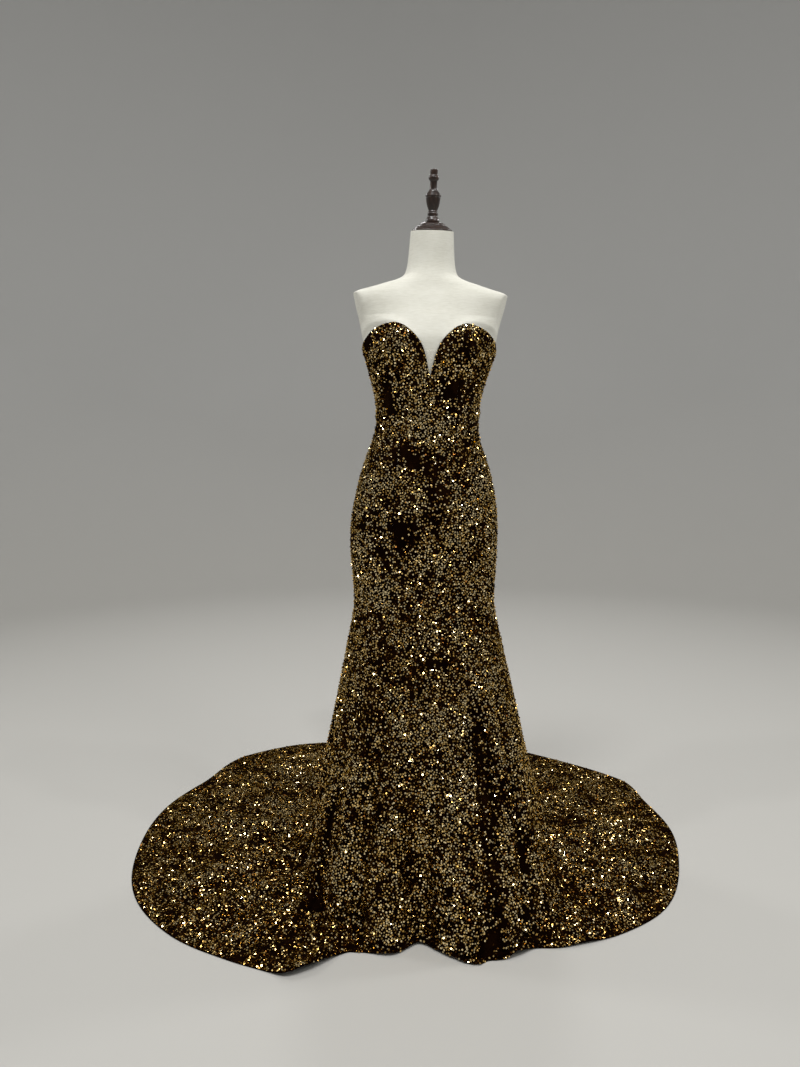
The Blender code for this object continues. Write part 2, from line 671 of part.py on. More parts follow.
def pull_mesh():
    """A teardrop tab that hangs from a bar, its bar on the local X axis and its face towards +Y."""
    half, slot, length = PULL_WIDTH / 2, PULL_SLOT_WIDTH / 2, PULL_LENGTH
    bar = PULL_BAR / 2
    shoulder = slot + PULL_RAIL
    rim = [(-shoulder, bar), (shoulder, bar), (shoulder, -PULL_SLOT_LENGTH)]
    for i in range(PULL_END_STEPS + 1):
        turn = math.pi * i / PULL_END_STEPS
        rim.append((half * math.cos(turn), -length + half - half * math.sin(turn)))
    rim.append((-shoulder, -PULL_SLOT_LENGTH))
    hole = [(-slot, -bar), (slot, -bar), (slot, -PULL_SLOT_LENGTH), (-slot, -PULL_SLOT_LENGTH)]
    shape = bmesh.new()
    loops = []
    for y in (-PULL_WALL / 2, PULL_WALL / 2):
        loops.append([[shape.verts.new((x, y, z)) for x, z in ring] for ring in (rim, hole)])
    for outer, inner in loops:
        edges = []
        for ring in (outer, inner):
            edges += [shape.edges.new((ring[i], ring[(i + 1) % len(ring)])) for i in range(len(ring))]
        bmesh.ops.triangle_fill(shape, edges=edges, use_beauty=True)
    for near, far in zip(*loops):
        for i in range(len(near)):
            j = (i + 1) % len(near)
            shape.faces.new((near[i], near[j], far[j], far[i]))
    bmesh.ops.recalc_face_normals(shape, faces=shape.faces)
    mesh = bpy.data.meshes.new("zip_pull")
    shape.to_mesh(mesh)
    shape.free()
    return mesh


def neck_bent(points):
    """The neck's bend forward to its cap."""
    slope = math.tan(math.radians(NECK_TILT_DEG)) * ease(NECK_BASE, NECK_TOP, points[..., 2])
    out = points.copy()
    out[..., 1] -= slope * (points[..., 2] - NECK_BASE) / 2
    out[..., 2] += slope * points[..., 1]
    return out


def arm_plate_reach(ahead, height):
    """The flat side where an arm would start, turned forward; no part of the torso goes further out."""
    reach = ARM_PLATE_REACH - ARM_PLATE_SLOPE * np.maximum(ARM_PLATE_TOP - height, 0.0)
    return reach + ARM_PLATE_TURN * ease(ARM_PLATE_LOW, ARM_PLATE_FULL, height) * np.minimum(ahead, 0.0)


def side_fill(across, height, share):
    """How far the chest's straight sides stand out of the cloth's own ring, above the neckline."""
    straight = SIDE_HALF + SIDE_SLOPE * (height - SIDE_FROM)
    return np.maximum(straight - HALF_WIDTH(height), 0.0) * ease(0.0, SIDE_EASE, share) * across**2


def chest_ring(bearings, top, share):
    """A ring of the bare chest, from the neckline at share 0 to the chest's top at 1, where the cups end."""
    turn, height = np.radians(bearings), top + (CHEST_TOP - top) * share
    across, ahead = np.sin(turn), -np.cos(turn)
    half_width, front, back = HALF_WIDTH(height), FRONT_DEPTH(height), BACK_DEPTH(height)
    depth = np.where(ahead < 0, front, back)
    slid = np.arctan2(across / half_width, -ahead / depth)
    slid = slid + (turn - slid) * share
    cups = body_radius(bearings, height) - ring_radius(bearings, half_width, front, back)
    out = cups * (1 - share**2) - FORM_GAP
    x = half_width * np.sin(slid) + across * (out + side_fill(across, height, share))
    return np.stack([x, ahead * out - depth * np.cos(slid), height], axis=-1)


def torso_bearings():
    """The cloth's own columns in front, and every other one of them round the sides."""
    bearings = [-deg for deg in reversed(UPPER_FRONT_DEG[1:])] + list(UPPER_FRONT_DEG)
    for name, start, end, upper_steps, skirt_steps in PANELS:
        bearings += list(np.linspace(start, end, upper_steps + 1)[::2]) + [end]
    return np.unique(np.round(bearings, 6))[1:]


def torso_rings(bearings):
    """The torso's rings from the bottom up. Those under the cloth have the cloth's own rows."""
    turn, top = np.radians(bearings), NECK_HEIGHT(np.abs(bearings))
    across, ahead = np.sin(turn), -np.cos(turn)
    bottom = np.full(len(turn), FORM_BOTTOM)
    levels = [(bottom, BOTTOM_ROUND), (bottom + BOTTOM_ROUND, 0.0)]
    levels += [(top + (FLARE_HEIGHT - top) * run, 0.0) for run in reversed(UPPER_RUNS)]
    rings = []
    for height, inset in levels:
        radius = body_radius(bearings, height) - FORM_GAP - inset
        rings.append(np.stack([radius * across, radius * ahead, height], axis=-1))
    for row in range(1, CHEST_ROWS + 1):
        rings.append(chest_ring(bearings, top, row / CHEST_ROWS))
    for level, half_width, front, back in SHOULDERS:
        y = np.where(ahead < 0, front, back) * ahead
        rings.append(np.stack([half_width * across, y, np.full(len(turn), level)], axis=-1))
    for ring in rings[len(levels) :]:
        reach = arm_plate_reach(ring[:, 1], ring[:, 2])
        ring[:, 0] = np.clip(ring[:, 0], -reach, reach)
    return [leaned(neck_bent(ring)) for ring in rings]


def make_torso(canvas):
    """The torso, in the cloth's own triangles, so that the two can't meet between their rows."""
    bearings = torso_bearings()
    rings = torso_rings(bearings)
    round_count = len(bearings)
    places = [*bearings, bearings[0] + 360]
    closed = [i % round_count for i in range(round_count + 1)]
    numbers = [[row * round_count + i for i in closed] for row in range(len(rings))]
    faces = [tuple(numbers[-1][:-1]), tuple(reversed(numbers[0][:-1]))]
    for below, above in zip(numbers, numbers[1:]):
        faces += strip(above, below, places, places)
    mesh = bpy.data.meshes.new("torso")
    mesh.from_pydata(np.concatenate(rings).tolist(), [], faces)
    add_object("torso", mesh, canvas)


def turned(name, profile_points, sides, finish, tilt=None):
    """A solid turned about its axis through (height, radius) pairs, with flat ends."""
    shape = bmesh.new()
    loops = []
    for height, radius in profile_points:
        turns = [2 * math.pi * i / sides for i in range(sides)]
        loops.append([shape.verts.new((radius * math.cos(a), radius * math.sin(a), height)) for a in turns])
    for below, above in zip(loops, loops[1:]):
        for i in range(sides):
            j = (i + 1) % sides
            shape.faces.new((below[i], below[j], above[j], above[i]))
    shape.faces.new(list(reversed(loops[0])))
    shape.faces.new(loops[-1])
    mesh = bpy.data.meshes.new(name)
    shape.to_mesh(mesh)
    shape.free()
    made = add_object(name, mesh, finish)
    if tilt is not None:
        made.matrix_world = tilt
    return made


def make_stand(wood, metal):
    middle = leaned(neck_bent(np.array([[0.0, 0.0, NECK_TOP]])))[0]
    lean = Matrix.Translation(Vector(middle)) @ Matrix.Rotation(math.radians(LEAN_DEG), 4, "Y")
    lean = lean @ Matrix.Rotation(math.radians(NECK_TILT_DEG), 4, "X")
    turned("neck_cap", CAP_PROFILE, TURNED_SIDES, wood, lean)
    turned("finial", FINIAL_PROFILE, TURNED_SIDES, wood, lean)

    rim = FOOT_RADIUS - FOOT_ROUND
    shoulder = FOOT_THICKNESS - FOOT_ROUND
    foot = [(0.0, rim), (FOOT_ROUND, FOOT_RADIUS), (shoulder, FOOT_RADIUS), (FOOT_THICKNESS, rim)]
    turned("stand_foot", foot, FOOT_SIDES, metal)
    socket_base = FOOT_THICKNESS + SEAM_GAP
    pole_base = socket_base + SOCKET_HEIGHT + SEAM_GAP
    socket = [(socket_base, SOCKET_RADIUS), (socket_base + SOCKET_HEIGHT, SOCKET_TOP_RADIUS)]
    turned("pole_socket", socket, POLE_SIDES, metal)
    flange_top = FORM_BOTTOM - SEAM_GAP
    flange_base = flange_top - FLANGE_THICKNESS
    turned("pole", [(pole_base, POLE_RADIUS), (flange_base - SEAM_GAP, POLE_RADIUS)], POLE_SIDES, metal)
    turned("pole_flange", [(flange_base, FLANGE_RADIUS), (flange_top, FLANGE_RADIUS)], POLE_SIDES, metal)


def main():
    for item in list(bpy.data.objects):
        bpy.data.objects.remove(item)
    velvet = material("gold_sequin_velvet", (0.10, 0.065, 0.022), 0.45, 0.3)
    net = material("nude_net", (0.72, 0.66, 0.56), 0.8)
    tape = material("zip_tape", (0.03, 0.022, 0.015), 0.8)
    gilt = material("zip_metal", (0.55, 0.42, 0.20), 0.35, 1.0)
    canvas = material("form_canvas", (0.80, 0.79, 0.72), 0.85)
    wood = material("dark_wood", (0.075, 0.045, 0.032), 0.35)
    steel = material("stand_steel", (0.06, 0.06, 0.062), 0.4, 0.8)
    make_gown(velvet)
    make_net(net)
    make_zip(tape, gilt)
    make_torso(canvas)
    make_stand(wood, steel)


main()
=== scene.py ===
"""Looks of the strapless sequin-velvet mermaid gown on its dress form.

Metres, +Z up, front towards -Y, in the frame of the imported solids. A point of the cloth has a bearing, the
angle round the stand's pole (0 at centre front, positive towards +X), and a run, which is 0 at the neckline,
1 where the flare starts and 2 at the hem, as in the solids' own source.
"""

import math

import bmesh
import bpy
import numpy as np
from mathutils import Matrix, Vector, kdtree, noise


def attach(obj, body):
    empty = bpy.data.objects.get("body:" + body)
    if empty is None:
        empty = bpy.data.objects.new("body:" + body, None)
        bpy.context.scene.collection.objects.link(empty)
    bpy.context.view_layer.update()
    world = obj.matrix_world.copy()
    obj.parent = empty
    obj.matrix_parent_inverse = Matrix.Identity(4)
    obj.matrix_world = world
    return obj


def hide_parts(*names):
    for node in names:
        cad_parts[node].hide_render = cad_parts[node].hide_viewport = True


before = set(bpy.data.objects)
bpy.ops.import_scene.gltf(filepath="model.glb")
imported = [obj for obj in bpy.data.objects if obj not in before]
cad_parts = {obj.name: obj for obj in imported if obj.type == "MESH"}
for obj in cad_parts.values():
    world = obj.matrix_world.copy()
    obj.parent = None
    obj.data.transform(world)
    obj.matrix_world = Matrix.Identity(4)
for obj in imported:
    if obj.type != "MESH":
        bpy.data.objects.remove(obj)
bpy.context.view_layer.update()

# The cloth's sizes, as in the solids.
WALL = 0.0025
SEAM_GAP = 0.0003
FLARE_HEIGHT = 0.66
LEAN_DEG = 1.65
LEAN_FROM, LEAN_FULL = 0.70, 0.95

# The fitted part's rings, inside the cloth: height, half width, depth in front and behind.
FITTED = (
    # height, half_width, front, back
    (1.4, 0.174, 0.088, 0.0975), (1.356, 0.158, 0.106, 0.0985), (1.328, 0.159, 0.113, 0.098),
    (1.276, 0.145, 0.11, 0.095), (1.234, 0.1325, 0.104, 0.091), (1.186, 0.122, 0.0985, 0.086),
    (1.138, 0.1195, 0.096, 0.084), (1.095, 0.1285, 0.099, 0.088), (1.061, 0.1415, 0.103, 0.096),
    (0.993, 0.161, 0.109, 0.119), (0.9, 0.175, 0.112, 0.138), (0.85, 0.1765, 0.113, 0.14),
    (0.78, 0.173, 0.117, 0.134), (0.72, 0.1695, 0.124, 0.133), (0.69, 0.1715, 0.129, 0.138),
    (0.66, 0.1765, 0.137, 0.148),
)
BUST_HEIGHT, BUST_BEARING_DEG = 1.300, 37.0
BUST_REACH = 0.021  # how far each cup stands out of the ring
BUST_WIDTH_DEG, BUST_RISE, BUST_DROP = 17.0, 0.062, 0.040

# The top edge: two round cups, a plunge between them, a lower back.
NECKLINE = (
    # bearing_deg, height
    (0, 1.241), (3, 1.27), (6.5, 1.297), (10.5, 1.317), (16.5, 1.334), (23.5, 1.348), (31, 1.358),
    (42, 1.364), (53, 1.361), (65, 1.35), (78, 1.327), (90, 1.306), (125, 1.282), (180, 1.258),
)

# The skirt in plan: where its slope meets the floor, the round where it turns on to the floor, and the hem.
SPREAD = (
    # bearing_deg, foot, fillet, hem
    (-180, 0.4, 0.42, 0.89), (-165, 0.395, 0.38, 0.895), (-150, 0.38, 0.32, 0.943),
    (-141, 0.365, 0.26, 0.95), (-127, 0.345, 0.18, 0.873), (-117, 0.325, 0.14, 0.852),
    (-98, 0.308, 0.08, 0.783), (-82, 0.306, 0.06, 0.728), (-65, 0.315, 0.05, 0.644),
    (-50, 0.33, 0.05, 0.563), (-39, 0.335, 0.04, 0.523), (-36, 0.334, 0.03, 0.519),
    (-33, 0.331, 0.03, 0.496), (-30, 0.33, 0.03, 0.429), (-27, 0.338, 0.02, 0.386),
    (-22, 0.351, 0.02, 0.366), (-14, 0.346, 0.02, 0.36), (-9, 0.338, 0.02, 0.351),
    (-3, 0.345, 0.02, 0.359), (3, 0.335, 0.02, 0.348), (8, 0.35, 0.02, 0.364), (12, 0.367, 0.02, 0.382),
    (15, 0.371, 0.02, 0.386), (18.5, 0.363, 0.02, 0.377), (23, 0.374, 0.02, 0.388),
    (28, 0.381, 0.02, 0.4), (36, 0.384, 0.03, 0.416), (44, 0.374, 0.04, 0.449), (58, 0.348, 0.05, 0.52),
    (72, 0.335, 0.06, 0.593), (91, 0.33, 0.07, 0.662), (106, 0.34, 0.1, 0.729), (118, 0.352, 0.15, 0.772),
    (129, 0.366, 0.22, 0.832), (142, 0.384, 0.31, 0.828), (160, 0.398, 0.39, 0.85),
)

# The flares that swing the front hem in and out, straight from the flare line to the floor.
FLARES = (
    # bearing_deg, width_deg, swing
    (-31, 4, -0.024), (-3.5, 5.5, -0.046), (19, 7, 0.012), (34.5, 4.5, -0.012),
)

FLARE_POWER = 1.5  # how slowly a flare opens below the flare line

# Runs at which the skirt's slope ends and its part on the floor starts.
FOOT_RUN, FLOOR_RUN = 1.42, 1.68

# Folds: a ridge where the height is positive, a valley where it is negative. Each crosses the skirt from
# one bearing at its start to another at the foot, or at its end if it starts on the floor, where only
# ridges rise.
FOLDS = (
    # from_deg, to_deg, width_deg, height, start, end
    (37, 21, 4.5, -0.015, 1.04, 1.9), (46, 29, 4.5, 0.012, 1.04, 2.1), (54, 38, 4.5, -0.012, 1.06, 1.72),
    (64, 47, 5, 0.009, 1.08, 1.95), (13, 8, 4, 0.007, 1.12, 2.1), (-13, -15, 4.5, 0.008, 1.1, 2.1),
    (-44, -40, 4.5, 0.011, 1.14, 1.8), (-60, -56, 5.5, -0.01, 1.1, 1.6), (-62, -56, 5, 0.012, 1.5, 1.97),
    (-80, -67, 5, 0.019, 1.48, 1.97), (-106, -77, 5.5, 0.017, 1.46, 1.98),
    (-128, -107, 6, 0.014, 1.44, 1.97), (-133, -130, 7, 0.014, 1.16, 1.96),
    (-158, -148, 7, 0.022, 1.04, 1.95), (62, 58, 4.5, 0.011, 1.5, 1.95), (88, 67, 5, 0.021, 1.47, 1.96),
    (105, 86, 5.5, 0.015, 1.47, 1.98), (116, 108, 6, 0.016, 1.4, 1.97), (138, 131, 7, 0.014, 1.14, 1.96),
    (163, 158, 6.5, 0.024, 1.03, 1.94), (180, 178, 7, 0.016, 1.06, 1.95),
)
FOLD_EASE = 0.12  # the run over which a fold comes up and dies away
HEM_LIFTS = (
    # bearing_deg, width_deg, lift: where the hem is held off the floor
    (-34.5, 4, 0.012), (-3.5, 5, 0.008), (47, 5, 0.006),
)
LIFT_LEAD = 0.1  # the run before the foot at which a lift starts

FRONT_SEAM, SIDE_SEAM, BACK_SEAM = 37.0, 95.0, 142.0
PANELS = (
    # name, from_deg, to_deg, columns, flat width, flat length, flat area
    ("centre_front", -FRONT_SEAM, FRONT_SEAM, 92, 0.52, 1.44, 0.375),
    ("side_front_right", -SIDE_SEAM, -FRONT_SEAM, 66, 0.70, 1.80, 0.441),
    ("side_front_left", FRONT_SEAM, SIDE_SEAM, 66, 0.62, 1.70, 0.389),
    ("side_back_right", -BACK_SEAM, -SIDE_SEAM, 54, 0.75, 1.90, 0.473),
    ("side_back_left", SIDE_SEAM, BACK_SEAM, 54, 0.68, 1.85, 0.418),
    ("back_right", -180.0, -BACK_SEAM, 46, 0.64, 1.85, 0.402),
    ("back_left", BACK_SEAM, 180.0, 46, 0.60, 1.80, 0.368),
)
FITTED_ROWS, SLOPE_ROWS, FILLET_ROWS, FLOOR_ROWS = 92, 56, 26, 30
EDGE_OFFSETS = (0.0, 0.0005, 0.0012, 0.0022)  # extra rows and columns where the wall rounds over at an edge
RUN_LENGTHS = 0.65, 0.45  # metres of cloth to one run, at the neckline and at the hem
OUTER_ROUND, INNER_ROUND, EDGE_LEVEL = 0.0024, 0.0010, 0.45  # of the wall, and where its two sides meet

# Creases of the upright cloth, each along a straight line from one place to another.
CREASES = (
    # from_deg, from_height, to_deg, to_height, width, rise
    (11, 1.247, 40, 1.201, 0.006, 0.0022), (-43, 1.206, -25, 1.204, 0.0045, 0.0018),
    (-26, 1.152, -2, 1.146, 0.005, 0.0016), (-30, 1.128, -8, 1.12, 0.0055, 0.0013),
    (40, 1.205, 14, 1.178, 0.006, 0.0018), (52, 1.168, 24, 1.15, 0.0055, 0.0016),
    (68, 1.176, 96, 1.16, 0.0065, 0.0034), (60, 1.128, 100, 1.14, 0.006, 0.0024),
    (-64, 1.15, -98, 1.158, 0.006, 0.0026), (-58, 1.118, -96, 1.124, 0.006, 0.002),
    (-50, 1.03, -12, 0.985, 0.009, 0.0014), (56, 1.02, 18, 0.968, 0.009, 0.0015),
    (-46, 0.9, -10, 0.868, 0.01, 0.0014), (50, 0.88, 8, 0.842, 0.01, 0.0016),
    (-40, 0.765, -4, 0.742, 0.011, 0.0017), (44, 0.76, 12, 0.73, 0.011, 0.0018),
    (118, 1.15, 150, 1.132, 0.0065, 0.0022), (-116, 1.146, -154, 1.128, 0.0065, 0.0022),
    (124, 1.105, 162, 1.092, 0.0065, 0.0017), (-128, 1.098, -168, 1.09, 0.0065, 0.0018),
    (110, 0.8, 150, 0.76, 0.011, 0.002), (-108, 0.79, -152, 0.752, 0.011, 0.002),
)
CREASE_END = 0.25  # how much of a crease's rise is left at its ends

# Waves of the whole cloth, too shallow for the solids.
WAVES = (
    # how many round the gown, how many down it, phase, rise
    (5, 2.1, 0.3, 0.00045), (9, 3.4, 1.9, 0.0004), (14, 1.7, 4.1, 0.00035), (23, 5.2, 2.6, 0.00028),
    (31, 2.9, 5.2, 0.00022),
)
WAVES_ON_SKIRT = 4.5  # how much higher the same waves are on the skirt and train
WAVES_FULL, WAVES_FADE = 1.3, 1.9  # the runs where they reach that, and where they start to die away

# Small creases of the skirt and train, in and between the solids' folds, in their form.
TRAIN_CREASES = (
    # from_deg, to_deg, width_deg, height, start, end
    (41, 24, 1.6, -0.0085, 1.06, 1.92), (57.5, 36, 1.4, -0.0065, 1.16, 1.76),
    (47.8, 28, 1.4, 0.005, 1.1, 2.1), (27.5, 15, 1.3, 0.003, 1.18, 2.1), (19, 11, 1.5, -0.003, 1.22, 1.7),
    (4, 3, 1.8, 0.0026, 1.24, 2.1), (-8, -9.5, 1.5, -0.0026, 1.2, 1.68),
    (-10, -27.5, 2.2, -0.007, 1.2, 2.05), (-15, -32.5, 2, 0.007, 1.2, 2.1),
    (-66, -35, 1.6, 0.005, 1.2, 1.8), (-51, -47.5, 1.4, -0.005, 1.18, 1.64),
    (-62, -58, 1.5, -0.0045, 1.2, 1.62), (-77, -91, 3.2, -0.01, 1.12, 1.6),
    (-98, -100, 2, 0.004, 1.2, 1.62), (70, 80, 2.2, -0.0065, 1.22, 1.62),
    (80, 67, 1.8, -0.006, 1.46, 1.8), (97, 92, 2, 0.004, 1.18, 1.6), (124, 119, 2.4, -0.006, 1.14, 1.56),
    (149, 144, 2.4, -0.007, 1.12, 1.56), (-118, -114, 2.4, -0.006, 1.16, 1.56),
    (-145, -140, 2.4, -0.007, 1.12, 1.56), (-170, -168, 2.4, -0.006, 1.14, 1.56),
    (-66, -62, 1.6, 0.0045, 1.56, 1.92), (-58, -69.5, 1.6, 0.0055, 1.76, 1.99),
    (-53, -66, 1.3, -0.006, 1.76, 1.99), (-101, -77, 1.8, -0.006, 1.52, 1.9),
    (-88, -72, 1.8, 0.005, 1.55, 1.9), (-97, -84, 1.6, 0.0036, 1.6, 1.95),
    (-116, -92, 2.2, 0.005, 1.56, 1.9), (-121, -116, 2, 0.0042, 1.58, 1.96),
    (-139, -124, 2.4, 0.0052, 1.5, 1.93), (-149, -141, 2.2, 0.005, 1.52, 1.9),
    (-167, -160, 2.6, 0.006, 1.5, 1.94), (-174, -176, 2, 0.0046, 1.52, 1.9),
    (50, 49, 1.4, 0.0036, 1.6, 1.9), (62.5, 65, 1.5, 0.0046, 1.7, 1.97),
    (65, 71, 1.3, -0.006, 1.76, 1.98), (69, 76, 1.5, 0.0052, 1.78, 1.98),
    (79, 72, 1.6, 0.0042, 1.62, 1.93), (97, 76, 1.9, 0.005, 1.55, 1.9), (110, 97, 2, 0.0044, 1.56, 1.95),
    (124, 118, 2.2, 0.0048, 1.52, 1.92), (131, 123, 2, 0.004, 1.6, 1.9),
    (148, 145, 2.4, 0.0052, 1.5, 1.94), (153, 150, 2, 0.0044, 1.56, 1.9),
    (171, 168, 2.4, 0.0056, 1.5, 1.93),
)

# Sequins: flat round spangles, each sewn at a lean of its own.
SEQUIN_SPACING, SPACING_SPREAD = 0.0040, 0.25  # the least distance between two centres, and how it varies
SEQUIN_SEED, SEQUIN_TRIES = 11, 3.0  # tries for every square of the spacing
SEQUIN_RADIUS, SEQUIN_SPREAD, SEQUIN_SIDES, SEQUIN_LIFT = 0.0019, 0.22, 8, 0.0004
LEAN_SPREAD_DEG, MOST_LEAN_DEG = 28.0, 62.0
BURIED = 0.9  # how far the lower half of a leaning sequin may sink in the pile
# One gold sequin in four tones: a painted highlight, a lit gold, a painted shade and a painted deep shade,
# handed out partly at random and partly by the painted light and shade in make_sequins.
SEQUIN_TONES = (
    # name, colour, roughness, share
    ("sequin_highlight_gold", (1.00, 0.80, 0.45), 0.13, 0.30),
    ("sequin_lit_gold", (0.92, 0.64, 0.25), 0.17, 0.32),
    ("sequin_shaded_gold", (0.50, 0.30, 0.080), 0.21, 0.23),
    ("sequin_deep_shade_gold", (0.085, 0.034, 0.007), 0.26, 0.15),
)
EDGE_GOLD = (1.0, 0.74, 0.34, 1.0)  # their colour where light glances off
DARKEST = 0.999  # a tone that still falls in the last of their shares
PATCH_SCALES = (11.0, 27.0, 60.0)  # uneven pile, from broad patches to small ones
PATCH_LOSS, PATCH_TONE = 1.1, 0.75  # how many it hides, how dark it makes the rest
TRAIN_SHADE_LOSS, TRAIN_SHADE, TRAIN_RUNS = 1.0, 0.24, (1.35, 1.6)  # more so on the train, which sets in between these runs: painted shade of the train on the floor
UNEVEN_SPOTS, OPEN_PATCHES = 2, 2  # how unevenly the spots and valleys of painted shade leave them out, how painted light undoes the patches
RIDGE_HEIGHT, RIDGE_LIGHT = 0.013, 0.16  # painted highlight: along a fold's ridge the golds are lighter and fewer are left out
VALLEY_DEPTH, VALLEY_SHADE = 0.018, 0.68  # painted shade: in a fold's valley sequins are left out, so the near-black velvet shows

# Painted shade on the upright cloth: spots where fewer sequins are kept, so the near-black velvet shows.
SHADED_SPOTS = (
    # bearing_deg, height, width, tall, share lost
    (12, 1.238, 0.012, 0.012, 0.6), (25, 1.218, 0.036, 0.026, 0.85), (36, 1.178, 0.024, 0.034, 0.75),
    (56, 1.165, 0.013, 0.05, 0.85), (49, 1.1, 0.012, 0.022, 0.6), (-51, 1.19, 0.02, 0.044, 0.75),
    (-72, 1.326, 0.02, 0.018, 0.5), (37, 1.296, 0.018, 0.016, 0.5), (60, 1.33, 0.016, 0.016, 0.5),
    (-30, 1.058, 0.07, 0.03, 0.7), (-8, 1.045, 0.05, 0.03, 0.6), (2, 0.95, 0.05, 0.05, 0.4),
    (-58, 0.893, 0.036, 0.036, 0.72), (-30, 0.89, 0.06, 0.055, 0.45), (-43, 0.835, 0.056, 0.028, 0.68),
    (-4, 0.8, 0.04, 0.018, 0.65),
)
# Painted light: spots where more sequins are kept and lighter golds are chosen.
LIT_SPOTS = (
    # bearing_deg, height, width, tall, gain
    (-10, 1.135, 0.034, 0.034, 0.3), (-29, 1.227, 0.026, 0.026, 0.15), (-23, 1.309, 0.026, 0.02, 0.2),
    (28, 1.326, 0.03, 0.016, 0.25), (-60, 0.993, 0.03, 0.034, 0.25), (62, 1.015, 0.04, 0.032, 0.3),
    (53, 0.945, 0.036, 0.036, 0.2), (74, 0.83, 0.02, 0.07, 0.3), (-39, 0.75, 0.06, 0.04, 0.25),
    (-70, 1.24, 0.02, 0.05, 0.15),
)

# The dress form, as in the solids.
FORM_GAP = 0.0021
FORM_BOTTOM, BOTTOM_ROUND, CHEST_TOP, NECK_TOP = 0.705, 0.010, 1.385, 1.583
NECK_BASE, NECK_TILT_DEG = 1.484, 9.5  # the neck bends forward, and its cap tilts with it
SIDE_FROM, SIDE_HALF, SIDE_SLOPE, SIDE_EASE = 1.328, 0.1605, 0.2083, 0.45  # the chest's straight sides
SHOULDERS = (
    # height, half_width, front, back
    (1.4, 0.177, 0.0852, 0.0968), (1.415, 0.1868, 0.0795, 0.0945), (1.43, 0.1935, 0.074, 0.091),
    (1.439, 0.19, 0.0705, 0.088), (1.446, 0.174, 0.068, 0.0845), (1.454, 0.146, 0.0655, 0.079),
    (1.464, 0.112, 0.063, 0.0725), (1.473, 0.082, 0.0605, 0.0665), (1.484, 0.064, 0.0575, 0.061),
    (1.505, 0.0565, 0.054, 0.0565), (1.545, 0.0525, 0.052, 0.053), (NECK_TOP, 0.05, 0.05, 0.05),
)
ARM_PLATE_TOP, ARM_PLATE_REACH, ARM_PLATE_SLOPE = 1.440, 0.1820, 0.21
ARM_PLATE_TURN, ARM_PLATE_LOW, ARM_PLATE_FULL = 0.35, 1.335, 1.375  # how far it turns forward, and from where
FORM_COLUMNS, FORM_ROUND_ROWS, FORM_LOW_ROWS, FORM_CHEST_ROWS, FORM_TOP_ROWS = 192, 6, 40, 26, 66

BEARING_STEP, RUN_STEP = 0.04, 0.002  # over which the cloth's slope is measured
LEAST_UP = 0.2  # of the outward normal, where relief is kept above the floor
SMALL, TINY, WELD = 1e-4, 1e-12, 1e-6  # least fillet and vector to divide by, and how close points are one
WAVE_TURNS = 20  # a wave texture's phase over one unit at scale 1
MEAN_RADIUS = 0.15  # turns a bearing into a distance round the gown
ARM_PLATE_ROUND = 0.0025

# The net in the plunge, and the zip.
NET_TOP, NET_DEPTH, NET_TURNING = 1.302, 0.008, 0.005
ZIP_HALF_WIDTH, ZIP_BOTTOM = 0.012, 0.897
NET_FACES, TAPE_FACES = (-0.0010, -0.0014), (-0.0008, -0.0017)  # outer and inner, from the cloth's inside
NET_ROWS, NET_COLUMNS, TAPE_ROWS, TAPE_COLUMNS = 40, 25, 60, 9
SEWN_RADIUS = 0.11  # turns a bearing into a distance across the net and the tape
ZIP_BEARING = 180.0
TEETH_DROP, TEETH_RISE = 0.020, 0.004  # how far the row of teeth ends from the tape's two ends
TOOTH_PITCH, TOOTH_MIDDLE, TOOTH_OUT = 0.0013, 0.0012, 0.0022
TOOTH_BOX = (-0.0003, 0.0011), (-0.00032, 0.00032), (-0.0006, 0.0006)  # across, along and out of the tape
TOOTH_FACES = (0, 1, 3, 2), (4, 6, 7, 5), (0, 4, 5, 1), (2, 3, 7, 6), (0, 2, 6, 4), (1, 5, 7, 3)
TOOTH_BEVEL, GILT_BEVEL, BEVEL_FROM_DEG = (0.00015, 1), (0.00022, 3), 28

